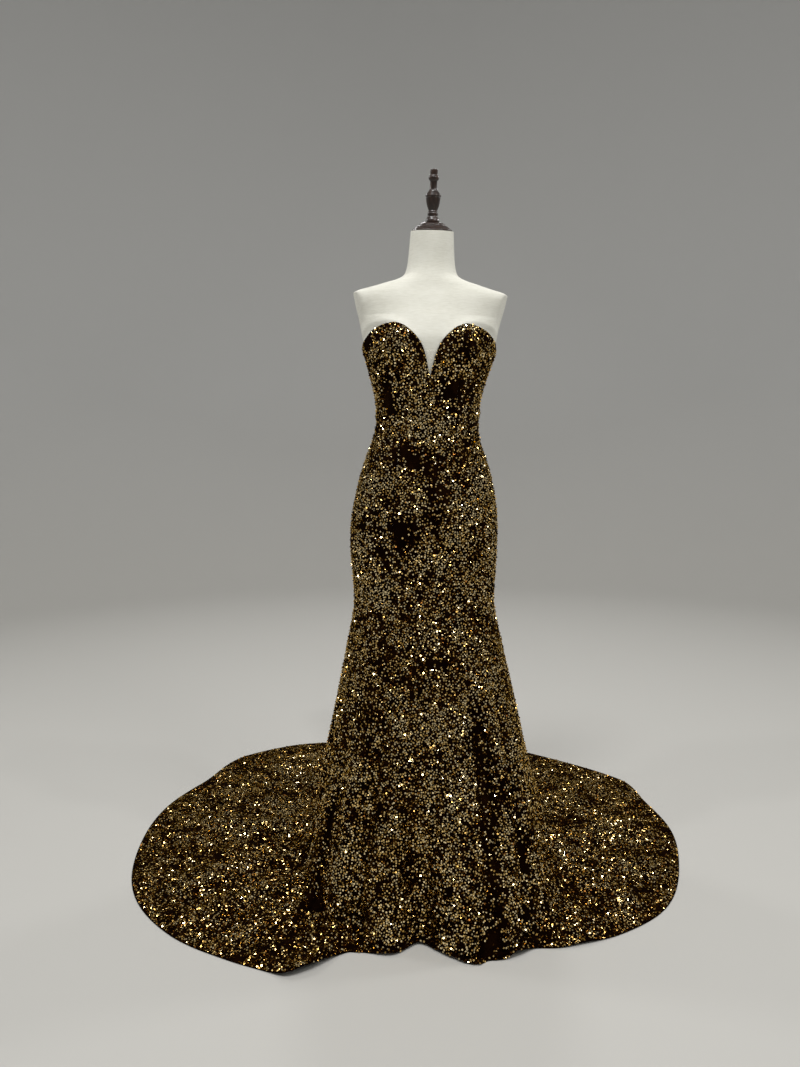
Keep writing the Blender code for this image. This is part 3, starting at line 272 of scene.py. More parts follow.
# Turned wood: height above the neck, radius.
CAP_SIDES, FINIAL_SIDES, FINIAL_RINGS = 96, 72, 160
CAP_OUTLINE = (
    (0.0003, 0.0462), (0.0008, 0.0468), (0.0016, 0.0471), (0.0026, 0.047), (0.0034, 0.0464),
    (0.0038, 0.0452), (0.0042, 0.0446), (0.0056, 0.043), (0.0068, 0.0408), (0.008, 0.0392),
    (0.0088, 0.0384), (0.0092, 0.0374), (0.0104, 0.0366), (0.0112, 0.0354), (0.0117, 0.0334),
    (0.0122, 0.0312), (0.0128, 0.0306), (0.0146, 0.0302), (0.0158, 0.0292), (0.0166, 0.0276),
    (0.0176, 0.0262), (0.0184, 0.025), (0.019, 0.0235),
)
FINIAL_KNOTS = (
    (0.0193, 0.0154), (0.0197, 0.0159), (0.0215, 0.0161), (0.0235, 0.016), (0.0252, 0.0155),
    (0.027, 0.0149), (0.0285, 0.0141), (0.03, 0.0131), (0.0318, 0.0121), (0.0334, 0.0115),
    (0.034, 0.0114), (0.0346, 0.0119), (0.0375, 0.0121), (0.04, 0.0119), (0.0412, 0.0113), (0.042, 0.011),
    (0.0428, 0.0112), (0.044, 0.011), (0.0455, 0.0102), (0.0462, 0.0103), (0.0475, 0.0109),
    (0.049, 0.0115), (0.054, 0.0134), (0.06, 0.0151), (0.0655, 0.016), (0.07, 0.0165), (0.0738, 0.0168),
    (0.0744, 0.0163), (0.075, 0.0173), (0.076, 0.0179), (0.0775, 0.0181), (0.0788, 0.0178),
    (0.0798, 0.017), (0.0806, 0.016), (0.0812, 0.0156), (0.0825, 0.0147), (0.0847, 0.0131),
    (0.0868, 0.0114), (0.089, 0.0103), (0.092, 0.0093), (0.095, 0.0087), (0.102, 0.0081),
    (0.1075, 0.0083), (0.109, 0.0088), (0.1098, 0.0098), (0.1112, 0.011), (0.113, 0.0117), (0.115, 0.012),
    (0.1172, 0.0117), (0.1188, 0.011), (0.12, 0.0098), (0.121, 0.009), (0.1225, 0.0087), (0.125, 0.0087),
    (0.13, 0.0088), (0.1322, 0.0086), (0.1335, 0.008), (0.134, 0.007),
)

# Camera, lamps and the plain studio.
CAMERA_PLACE, CAMERA_FOCAL = (-0.058, -1.95, 1.12), 802.0  # metres, and pixels of the picture's height
PICTURE_HEIGHT, FILM, CAMERA_CLIP = 1067, 36.0, (0.05, 60.0)
CAMERA_PITCH_DEG, CAMERA_ROLL_DEG = 7.2, 0.4
STUDIO_RADIUS, STUDIO_COVE, STUDIO_HEIGHT, FLOOR_DROP = 5.4, 1.6, 6.0, 0.0004
STUDIO_SIDES, COVE_ROWS, FLOOR_RINGS = 128, 13, (0.001, 2.0)
FLOOR_COLOUR, WALL_COLOUR = (0.52, 0.51, 0.48), (0.56, 0.56, 0.55)
WORLD_COLOUR, WORLD_STRENGTH = (1.0, 0.985, 0.95, 1.0), 0.28
LAMPS = (
    # name, place, target, size, power
    ("key", (-1.0, -2.0, 4.8), (0.0, 0.0, 0.9), 1.0, 70.0),
    ("fill", (2.2, -2.4, 3.6), (0.0, 0.0, 0.8), 1.2, 28.0),
    ("left_down", (-1.5, -0.9, 3.3), (-0.4, 0.0, 0.4), 0.16, 12.0),
    ("right_down", (1.5, -0.9, 3.3), (0.4, 0.0, 0.4), 0.16, 12.0),
    ("middle_down", (0.2, -1.5, 3.4), (0.0, 0.0, 0.8), 0.16, 18.0),
    ("left_rim", (-2.6, 1.3, 3.0), (0.0, 0.2, 0.7), 0.5, 20.0),
    ("right_rim", (2.6, 1.3, 3.0), (0.0, 0.2, 0.7), 0.5, 22.0),
    ("back_rim", (0.0, 3.2, 3.2), (0.0, 0.3, 0.6), 0.8, 26.0),
)


class Curve:
    """A smooth line through (place, value) pairs that never overshoots them. A period closes it."""

    def __init__(self, places, values, period=None):
        order = np.argsort(places)
        places, values = np.array(places, float)[order], np.array(values, float)[order]
        if period:
            places = np.concatenate([places[-2:] - period, places, places[:2] + period])
            values = np.concatenate([values[-2:], values, values[:2]])
        self.period, self.places, self.values = period, places, values
        gaps, rises = np.diff(places), np.diff(values) / np.diff(places)
        slopes = np.concatenate([rises[:1], np.zeros(len(places) - 2), rises[-1:]])
        same_way = rises[:-1] * rises[1:] > 0
        before, after = 2 * gaps[1:] + gaps[:-1], gaps[1:] + 2 * gaps[:-1]
        safe = np.where(same_way, rises[:-1], 1.0), np.where(same_way, rises[1:], 1.0)
        inner = (before + after) / (before / safe[0] + after / safe[1])
        slopes[1:-1] = np.where(same_way, inner, 0.0)
        self.slopes = slopes

    def __call__(self, place):
        place = np.asarray(place, float)
        if self.period:
            place = (place + self.period / 2) % self.period - self.period / 2
        place = np.clip(place, self.places[0], self.places[-1])
        i = np.clip(np.searchsorted(self.places, place) - 1, 0, len(self.places) - 2)
        gap = self.places[i + 1] - self.places[i]
        t = (place - self.places[i]) / gap
        back = 1 - t
        return (
            self.values[i] * back * back * (1 + 2 * t)
            + self.values[i + 1] * t * t * (3 - 2 * t)
            + gap * t * back * (self.slopes[i] * back - self.slopes[i + 1] * t)
        )


def columns(table):
    """A table's columns, each as one tuple."""
    return tuple(zip(*table))


HEIGHTS, *RINGS = columns(FITTED)
HALF_WIDTH, FRONT_DEPTH, BACK_DEPTH = (Curve(HEIGHTS, ring) for ring in RINGS)
NECK_HEIGHT = Curve(*columns(NECKLINE))
BEARINGS, *PLAN = columns(SPREAD)
FOOT_REACH, FILLET, HEM_REACH = (Curve(BEARINGS, column, 360.0) for column in PLAN)


def ease(low, high, value):
    """0 below low, 1 above high, and a smooth step between."""
    t = np.clip((value - low) / (high - low), 0, 1)
    return t * t * (3 - 2 * t)


def bell(distance, width):
    return np.exp(-((distance / width) ** 2))


def turned_between(first, second):
    """The signed angle in degrees from the second bearing to the first, the short way round."""
    return (first - second + 180) % 360 - 180


def ring_radius(bearing, half_width, front, back):
    """The radius of a ring that is an ellipse in front and another behind."""
    turn = np.radians(bearing)
    depth = np.where(np.cos(turn) > 0, front, back)
    return 1 / np.sqrt((np.sin(turn) / half_width) ** 2 + (np.cos(turn) / depth) ** 2)


def body_radius(bearing, height):
    """The cloth's inside radius on the fitted part."""
    radius = ring_radius(bearing, HALF_WIDTH(height), FRONT_DEPTH(height), BACK_DEPTH(height))
    above = height - BUST_HEIGHT
    tall = bell(above, np.where(above > 0, BUST_RISE, BUST_DROP))
    for side in (-1, 1):
        radius = radius + BUST_REACH * tall * bell(bearing - side * BUST_BEARING_DEG, BUST_WIDTH_DEG)
    return radius


def swing(bearing):
    """How far the front flares move the skirt at its foot and hem."""
    return sum(reach * bell(turned_between(bearing, at), width) for at, width, reach in FLARES)


def profile(bearing, t):
    """The skirt's section, for t from 0 to 1: radius, height, and the outward normal's two parts."""
    top = body_radius(bearing, FLARE_HEIGHT)
    foot, hem = FOOT_REACH(bearing), HEM_REACH(bearing)
    drop = np.hypot(foot - top, FLARE_HEIGHT)
    dip = np.arctan2(FLARE_HEIGHT, foot - top)  # the slope's angle below level
    tangent = np.minimum(FILLET(bearing) * np.tan(dip / 2), (hem - foot) / 2)
    fillet = tangent / np.tan(dip / 2)
    lengths = drop - tangent, fillet * dip, hem - foot - tangent
    foot_at, floor_at = FOOT_RUN - 1, FLOOR_RUN - 1
    spans = (0.0, foot_at), (foot_at, floor_at), (floor_at, 1.0)
    shares = (np.clip((t - low) / (high - low), 0, 1) for low, high in spans)
    way = sum(length * share for length, share in zip(lengths, shares))
    on_slope, on_floor = t <= foot_at, t >= floor_at
    tilt = np.where(on_slope, dip, dip - (way - lengths[0]) / np.maximum(fillet, SMALL))
    tilt = np.where(on_floor, 0.0, tilt)
    radius = np.where(on_slope, top + way * np.cos(dip), foot + tangent - fillet * np.sin(tilt))
    radius = np.where(on_floor, foot + tangent + way - lengths[0] - lengths[1], radius)
    radius = radius + swing(bearing) * np.minimum(t / foot_at, 1.0) ** FLARE_POWER
    height = np.where(on_slope, FLARE_HEIGHT - way * np.sin(dip), fillet * (1 - np.cos(tilt)))
    return radius, np.where(on_floor, 0.0, height), np.sin(tilt), np.cos(tilt)


def fold_height(bearing, run):
    """How far the folds move the cloth out, or up where it lies on the floor."""
    total = 0.0
    for start_deg, end_deg, width, height, start, end in FOLDS + TRAIN_CREASES:
        settled = FOOT_RUN if start < FOOT_RUN else end
        share = np.clip((run - start) / (settled - start), 0, 1)
        at = start_deg + share * turned_between(end_deg, start_deg)
        shown = ease(start, start + FOLD_EASE, run) * (1 - ease(end - FOLD_EASE, end, run))
        total = total + height * shown * bell(turned_between(bearing, at), width)
    return total


def hem_lift(bearing, run):
    lift = sum(height * bell(turned_between(bearing, at), width) for at, width, height in HEM_LIFTS)
    return lift * ease(FOOT_RUN - LIFT_LEAD, 2.0, run)


def leaned(points):
    """The torso's lean on its pole, about the Y axis."""
    amount = math.tan(math.radians(LEAN_DEG)) * ease(LEAN_FROM, LEAN_FULL, points[..., 2])
    pivot = (LEAN_FROM + LEAN_FULL) / 2
    out = points.copy()
    out[..., 0] += amount * (points[..., 2] - pivot)
    out[..., 2] -= amount * points[..., 0]
    return out


def at_bearing(bearing, radius, height):
    """The points at these bearings, distances from the pole's line and heights."""
    turn = np.radians(bearing)
    return np.stack([radius * np.sin(turn), -radius * np.cos(turn), height], axis=-1)


def inside_face(bearing, run):
    """The cloth's inside face, before the lean."""
    bearing, run = np.broadcast_arrays(np.asarray(bearing, float), np.asarray(run, float))
    top = NECK_HEIGHT(np.abs(turned_between(bearing, 0.0)))
    fitted_height = top + (FLARE_HEIGHT - top) * np.minimum(run, 1.0)
    fitted_radius = body_radius(bearing, fitted_height)
    radius, height, out, up = profile(bearing, np.maximum(run - 1.0, 0.0))
    relief = fold_height(bearing, run)
    relief = np.where(height < WALL, np.maximum(relief, 0.0), relief)
    radius, height = radius + relief * out, height + relief * up + hem_lift(bearing, run)
    radius = np.where(run <= 1.0, fitted_radius, radius)
    height = np.where(run <= 1.0, fitted_height, np.maximum(height, 0.0))
    return at_bearing(bearing, radius, height)


def crease_height(bearing, height):
    """How far the creases lift the upright cloth off its form."""
    total = 0.0
    for from_deg, from_height, to_deg, to_height, width, rise in CREASES:
        along = math.radians(to_deg - from_deg) * MEAN_RADIUS
        down = to_height - from_height
        ahead = np.radians(turned_between(bearing, from_deg)) * MEAN_RADIUS
        below = height - from_height
        share = np.clip((ahead * along + below * down) / (along**2 + down**2), 0, 1)
        distance = np.hypot(ahead - share * along, below - share * down)
        total = total + rise * bell(distance, width) * (CREASE_END + (1 - CREASE_END) * np.sin(math.pi * share))
    return total


def wave_height(bearing, run):
    """The shallow unevenness of hung cloth; on the floor it only rises."""
    turn, total = np.radians(bearing), 0.0
    for around, down, phase, rise in WAVES:
        total = total + rise * np.sin(around * turn + 2 * math.pi * down * run + phase)
    higher = 1 + (WAVES_ON_SKIRT - 1) * ease(1.0, WAVES_FULL, run)
    total = total * higher * (1 - ease(WAVES_FADE, 2.0, run))
    settled = np.maximum(total, total * (1 - ease(FOOT_RUN, FLOOR_RUN, run)))
    return np.where(run > FOOT_RUN, settled, total)


def cloth(bearing, run, out=0.0):
    """A point on the creased cloth, moved out of its inside face by out."""
    bearing, run = np.broadcast_arrays(np.asarray(bearing, float), np.asarray(run, float))
    place = inside_face(bearing, run)
    across = inside_face(bearing + BEARING_STEP, run) - inside_face(bearing - BEARING_STEP, run)
    above, below = np.maximum(run - RUN_STEP, 0.0), np.minimum(run + RUN_STEP, 2.0)
    normal = np.cross(inside_face(bearing, below) - inside_face(bearing, above), across)
    normal /= np.linalg.norm(normal, axis=-1, keepdims=True)
    relief = crease_height(bearing, place[..., 2]) + wave_height(bearing, run)
    relief = np.maximum(relief, -place[..., 2] / np.maximum(normal[..., 2], LEAST_UP))
    return leaned(place + normal * (relief + out)[..., None])


# Materials.


def new_material(name, colour, roughness, metallic=0.0, **sockets):
    """A material whose even values are set on the shader's own sockets."""
    made = bpy.data.materials.new(name)
    made.use_nodes = True
    shader = made.node_tree.nodes["Principled BSDF"]
    shader.inputs["Base Color"].default_value = (*colour, 1.0)
    shader.inputs["Roughness"].default_value = roughness
    shader.inputs["Metallic"].default_value = metallic
    for socket, value in sockets.items():
        shader.inputs[socket.replace("_", " ")].default_value = value
    return made


def add_node(made, kind, inputs=None, **settings):
    node = made.node_tree.nodes.new(kind)
    for name, value in settings.items():
        setattr(node, name, value)
    for name, value in (inputs or {}).items():
        if isinstance(value, bpy.types.NodeSocket):
            made.node_tree.links.new(value, node.inputs[name])
        else:
            node.inputs[name].default_value = value
    return node


def shader_link(made, socket, name):
    made.node_tree.links.new(socket, made.node_tree.nodes["Principled BSDF"].inputs[name])


def place_of(made, stretch=(1, 1, 1)):
    """Object coordinates, stretched."""
    inputs = {"Vector": add_node(made, "ShaderNodeTexCoord").outputs["Object"], "Scale": stretch}
    return add_node(made, "ShaderNodeMapping", inputs).outputs["Vector"]


def noise_of(made, where, scale, detail=3.0, roughness=0.5):
    inputs = {"Vector": where, "Scale": scale, "Detail": detail, "Roughness": roughness}
    return add_node(made, "ShaderNodeTexNoise", inputs).outputs["Fac"]


def coloured(made, factor, stops):
    """Gives the material the colour that a ramp through (position, colour) stops has at a factor."""
    node = add_node(made, "ShaderNodeValToRGB", {"Fac": factor})
    ramp = node.color_ramp
    while len(ramp.elements) < len(stops):
        ramp.elements.new(0.5)
    for element, (position, colour) in zip(ramp.elements, stops):
        element.position, element.color = position, (*colour, 1.0)
    shader_link(made, node.outputs["Color"], "Base Color")


def range_of(made, factor, low, high, to_low, to_high):
    inputs = {"Value": factor, 1: low, 2: high, 3: to_low, 4: to_high}
    return add_node(made, "ShaderNodeMapRange", inputs).outputs["Result"]


def roughened(made, factor, rough, smooth):
    """Gives the material a roughness that goes from rough to smooth as the factor rises."""
    shader_link(made, range_of(made, factor, 0.3, 0.7, rough, smooth), "Roughness")


def math_of(made, operation, first, second):
    return add_node(made, "ShaderNodeMath", {0: first, 1: second}, operation=operation).outputs["Value"]


def bump_of(made, height, strength, distance):
    inputs = {"Height": height, "Strength": strength, "Distance": distance}
    shader_link(made, add_node(made, "ShaderNodeBump", inputs).outputs["Normal"], "Normal")


def thread_waves(made, pitch, direction, where):
    """Threads side by side along one axis of a map in metres."""
    scale = 2 * math.pi / (WAVE_TURNS * pitch)
    inputs = {"Vector": where, "Scale": scale, "Distortion": 0.6, "Detail": 1.0}
    node = add_node(made, "ShaderNodeTexWave", inputs, wave_type="BANDS", bands_direction=direction)
    return node.outputs["Fac"]


def crossed_threads(made, pitch):
    """Threads both ways over a piece's own map."""
    where = add_node(made, "ShaderNodeUVMap", uv_map="cover").outputs["UV"]
    return math_of(made, "MAXIMUM", *(thread_waves(made, pitch, way, where) for way in "XY"))


def velvet_material():
    """Brown-black stretch velvet: a soft pile with lighter and darker strokes."""
    sheen = {"Sheen_Weight": 0.012, "Sheen_Roughness": 0.45, "Sheen_Tint": (0.55, 0.22, 0.06, 1.0)}
    made = new_material("gold_sequin_velvet", (0.004, 0.001, 0.0002), 0.9, Specular_IOR_Level=0.01, **sheen)
    strokes = noise_of(made, place_of(made, (1, 1, 0.45)), 26.0, 4.0, 0.6)
    dark, middle, light = (0.0016, 0.0003, 0.0001), (0.004, 0.0011, 0.0002), (0.012, 0.0042, 0.0008)
    coloured(made, strokes, ((0.30, dark), (0.55, middle), (0.78, light)))
    roughened(made, strokes, 0.96, 0.78)
    bump_of(made, noise_of(made, place_of(made), 900.0, 3.0, 0.7), 0.5, 0.0006)
    return made


def sequin_materials():
    """Spangles of one gold in four tones, from a painted highlight to a painted deep shade, each very slightly
    dished and dented.
    """
    found = []
    for name, colour, roughness, _ in SEQUIN_TONES:
        made = new_material(name, colour, roughness, 1.0, Specular_Tint=EDGE_GOLD)
        bump_of(made, noise_of(made, place_of(made), 330.0, 1.0), 0.35, 0.0006)
        found.append(made)
    return found


def linen_material():
    """Cream plain-weave cover of the dress form, with slubs."""
    made = new_material("form_canvas", (0.80, 0.79, 0.72), 0.85, Specular_IOR_Level=0.3, Sheen_Weight=0.12)
    weave = crossed_threads(made, 0.0009)
    slubs = noise_of(made, place_of(made, (1, 1, 7)), 60.0, 3.0, 0.6)
    soft = noise_of(made, place_of(made), 16.0, 3.0, 0.5)
    mixed = math_of(made, "ADD", math_of(made, "MULTIPLY", slubs, 0.6), math_of(made, "MULTIPLY", soft, 0.4))
    dark, middle, light = (0.600, 0.587, 0.508), (0.664, 0.653, 0.575), (0.715, 0.706, 0.635)
    coloured(made, mixed, ((0.32, dark), (0.50, middle), (0.70, light)))
    roughened(made, slubs, 0.92, 0.78)
    height = math_of(made, "ADD", weave, math_of(made, "MULTIPLY", soft, 6.0))
    bump_of(made, height, 0.30, 0.0004)
    return made


def net_material():
    """Sheer nude net: fine crossed threads with clear cells."""
    made = new_material("nude_net", (0.84, 0.82, 0.74), 0.7)
    threads = crossed_threads(made, 0.0016)
    shader_link(made, range_of(made, threads, 0.55, 0.95, 0.12, 0.60), "Alpha")
    tint = noise_of(made, place_of(made), 120.0)
    coloured(made, tint, ((0.3, (0.80, 0.78, 0.70)), (0.7, (0.88, 0.86, 0.79))))
    bump_of(made, threads, 0.3, 0.0003)
    return made


def tape_material():
    made = new_material("zip_tape", (0.02, 0.014, 0.009), 0.85)
    ribs = thread_waves(made, 0.0008, "Z", place_of(made))
    coloured(made, ribs, ((0.2, (0.012, 0.009, 0.006)), (0.9, (0.030, 0.021, 0.014))))
    bump_of(made, ribs, 0.5, 0.0003)
    return made


def gilt_material():
    """Antique gilt of the zip's metal, rubbed brighter in places."""
    made = new_material("zip_metal", (0.62, 0.45, 0.20), 0.3, 1.0)
    rubbed = noise_of(made, place_of(made), 420.0, 3.0, 0.6)
    coloured(made, rubbed, ((0.35, (0.42, 0.28, 0.11)), (0.65, (0.74, 0.56, 0.27))))
    roughened(made, rubbed, 0.42, 0.22)
    return made


def wood_material():
    """Dark stained turned wood under satin lacquer, its grain along the pole."""
    lacquer = {"Specular_IOR_Level": 0.35, "Coat_Weight": 0.35, "Coat_Roughness": 0.14}
    made = new_material("dark_wood", (0.030, 0.014, 0.008), 0.34, **lacquer)
    grain = noise_of(made, place_of(made, (1, 1, 0.09)), 210.0, 5.0, 0.65)
    dark, middle, light = (0.006, 0.003, 0.002), (0.020, 0.009, 0.005), (0.052, 0.024, 0.013)
    coloured(made, grain, ((0.30, dark), (0.52, middle), (0.74, light)))
    roughened(made, grain, 0.26, 0.42)
    bump_of(made, grain, 0.25, 0.0003)
    return made


def steel_material():
    """Black powder-coated steel of the stand."""
    made = new_material("stand_steel", (0.03, 0.03, 0.032), 0.45)
    speckle = noise_of(made, place_of(made), 700.0, 2.0, 0.6)
    cloudy = noise_of(made, place_of(made), 14.0, 3.0)
    coloured(made, cloudy, ((0.3, (0.024, 0.024, 0.026)), (0.7, (0.040, 0.040, 0.043))))
    roughened(made, cloudy, 0.40, 0.55)
    bump_of(made, speckle, 0.25, 0.0003)
    return made


# Pieces.


def mended(piece, sharp_deg=None, weld=True):
    """Joins doubled points and turns the faces outwards. Edges stay sharp from an angle on."""
    shape = bmesh.new()
    shape.from_mesh(piece.data)
    if weld:
        bmesh.ops.remove_doubles(shape, verts=shape.verts, dist=WELD)
    bmesh.ops.recalc_face_normals(shape, faces=shape.faces)
    shape.to_mesh(piece.data)
    shape.free()
    if sharp_deg:
        piece.data.set_sharp_from_angle(angle=math.radians(sharp_deg))


def bevelled(piece, width, segments):
    piece.data.shade_smooth()
    cut = piece.modifiers.new("edges", "BEVEL")
    cut.width, cut.segments, cut.limit_method = width, segments, "ANGLE"
    cut.angle_limit, cut.harden_normals = math.radians(BEVEL_FROM_DEG), True


def add_piece(name, points, faces, materials, smooth=True, uv=None, face_materials=None):
    """A mesh object in the solids' frame. uv has a pair a vertex, finishes a material number a face."""
    mesh = bpy.data.meshes.new(name)
    points = np.asarray(points, np.float32)
    sizes = np.array([len(group[0]) for group in faces for _ in range(len(group))], np.int32)
    corners = np.concatenate([np.asarray(group, np.int32).ravel() for group in faces])
    mesh.vertices.add(len(points))
    mesh.vertices.foreach_set("co", points.ravel())
    mesh.loops.add(len(corners))
    mesh.loops.foreach_set("vertex_index", corners)
    mesh.polygons.add(len(sizes))
    mesh.polygons.foreach_set("loop_start", np.concatenate([[0], np.cumsum(sizes)[:-1]]).astype(np.int32))
    mesh.polygons.foreach_set("use_smooth", np.full(len(sizes), smooth))
    for item in materials:
        mesh.materials.append(item)
    if face_materials is not None:
        mesh.polygons.foreach_set("material_index", np.asarray(face_materials, np.int32))
    if uv is not None:
        layer = mesh.uv_layers.new(name="cover")
        layer.data.foreach_set("uv", np.asarray(uv, np.float32)[corners].ravel())
    mesh.update(calc_edges=True)
    mesh.validate()
    made = bpy.data.objects.new(name, mesh)
    bpy.context.scene.collection.objects.link(made)
    return made


def grid_quads(numbers):
    """The quads between a grid's point numbers, facing the way its rows and columns turn."""
    return np.stack([numbers[:-1, :-1], numbers[1:, :-1], numbers[1:, 1:], numbers[:-1, 1:]], -1).reshape(-1, 4)


def rounded_share(distance, radius):
    """0 at an edge and 1 from radius on, round between."""
    near = 1 - np.clip(distance / radius, 0, 1)
    return np.sqrt(np.maximum(1 - near * near, 0.0))


def panel_runs():
    """The panel's runs, with extra ones where the wall rounds over at the neckline and the hem."""
    top, hem = (np.array(EDGE_OFFSETS) / length for length in RUN_LENGTHS)
    fitted = np.linspace(top[-1], 1.0, FITTED_ROWS)[1:]
    slope = np.linspace(1.0, FOOT_RUN, SLOPE_ROWS + 1)[1:]
    fillet = np.linspace(FOOT_RUN, FLOOR_RUN, FILLET_ROWS + 1)[1:]
    floor = np.linspace(FLOOR_RUN, 2.0 - hem[-1], FLOOR_ROWS + 1)[1:-1]
    return np.concatenate([top, fitted, slope, fillet, floor, 2.0 - hem[::-1]])


def from_edges(count):
    """How far each of a line's points is from its nearer end, where extra points round the wall over."""
    steps = np.full(count, 1.0)
    steps[: len(EDGE_OFFSETS)] = EDGE_OFFSETS
    steps[-len(EDGE_OFFSETS) :] = EDGE_OFFSETS[::-1]
    return steps


def panel_grid(start, end, steps):
    """Bearings and runs of a panel's points, and how far each point is from the panel's nearest edge."""
    runs = panel_runs()
    seams = np.array([start, end])
    radius = np.hypot(*np.moveaxis(inside_face(seams[None, :], runs[:, None])[..., :2], -1, 0))
    gap = np.degrees(SEAM_GAP / 2 / radius)
    low, high = start + gap[:, 0], end - gap[:, 1]
    share = np.linspace(0, 1, steps)[1:-1]
    offsets = np.array(EDGE_OFFSETS)
    left = low[:, None] + np.degrees(offsets[None, :] / radius[:, :1])
    right = high[:, None] - np.degrees(offsets[None, ::-1] / radius[:, 1:])
    middle = left[:, -1:] + (right[:, :1] - left[:, -1:]) * share[None, :]
    bearings = np.concatenate([left, middle, right], axis=1)
    edge = np.minimum(from_edges(bearings.shape[1])[None, :], from_edges(len(runs))[:, None])
    return bearings, np.broadcast_to(runs[:, None], bearings.shape), edge


def make_panel(row, velvet):
    """A panel of the gown, closed and round at its edges, with its outside points and their place."""
    name, start, end, steps = row[:4]
    bearings, runs, edge = panel_grid(start, end, steps)
    lift = EDGE_LEVEL + (1 - EDGE_LEVEL) * rounded_share(edge, OUTER_ROUND)
    sink = EDGE_LEVEL * (1 - rounded_share(edge, INNER_ROUND))
    outside, inside = cloth(bearings, runs, WALL * lift), cloth(bearings, runs, WALL * sink)
    numbers = np.arange(edge.size).reshape(edge.shape)
    lining = numbers.copy()  # shares the outside's points along its four edges
    lined = lining[1:-1, 1:-1]
    lined[:] = edge.size + np.arange(lined.size).reshape(lined.shape)
    points = np.concatenate([outside.reshape(-1, 3), inside[1:-1, 1:-1].reshape(-1, 3)])
    faces = [grid_quads(numbers), grid_quads(lining)[:, ::-1]]
    piece = add_piece(name + "_velvet", points, faces, [velvet])
    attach(piece, "root")
    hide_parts(name)
    return piece, outside, bearings, runs


def spaced(points, least):
    """The numbers of the points that stay, in order, when each clears the rest within its own distance."""
    tree = kdtree.KDTree(len(points))
    for i, point in enumerate(points):
        tree.insert(point, i)
    tree.balance()
    free, kept = bytearray(b"\1" * len(points)), []
    for i, point in enumerate(points):
        if free[i]:
            kept.append(i)
            for _, j, _ in tree.find_range(point, least[i]):
                free[j] = 0
    return np.array(kept)


def unit(vectors):
    return vectors / np.maximum(np.linalg.norm(vectors, axis=-1, keepdims=True), TINY)


def pile_noise(points):
    """Smooth noise of the pile at these points, about -0.5 to 0.5: above 0 it lies over the sequins."""
    found = [sum(noise.noise(Vector(point) * scale) for scale in PATCH_SCALES) for point in points]
    return np.array(found) / len(PATCH_SCALES)


def spots(table, points, bearing):
    """The most that any of a table's soft spots gives at these points of the upright cloth."""
    most = np.zeros(len(points))
    for at, height, width, tall, share in table:
        across = np.radians(turned_between(bearing, at)) * MEAN_RADIUS
        most = np.maximum(most, share * bell(across, width) * bell(points[:, 2] - height, tall))
    return most


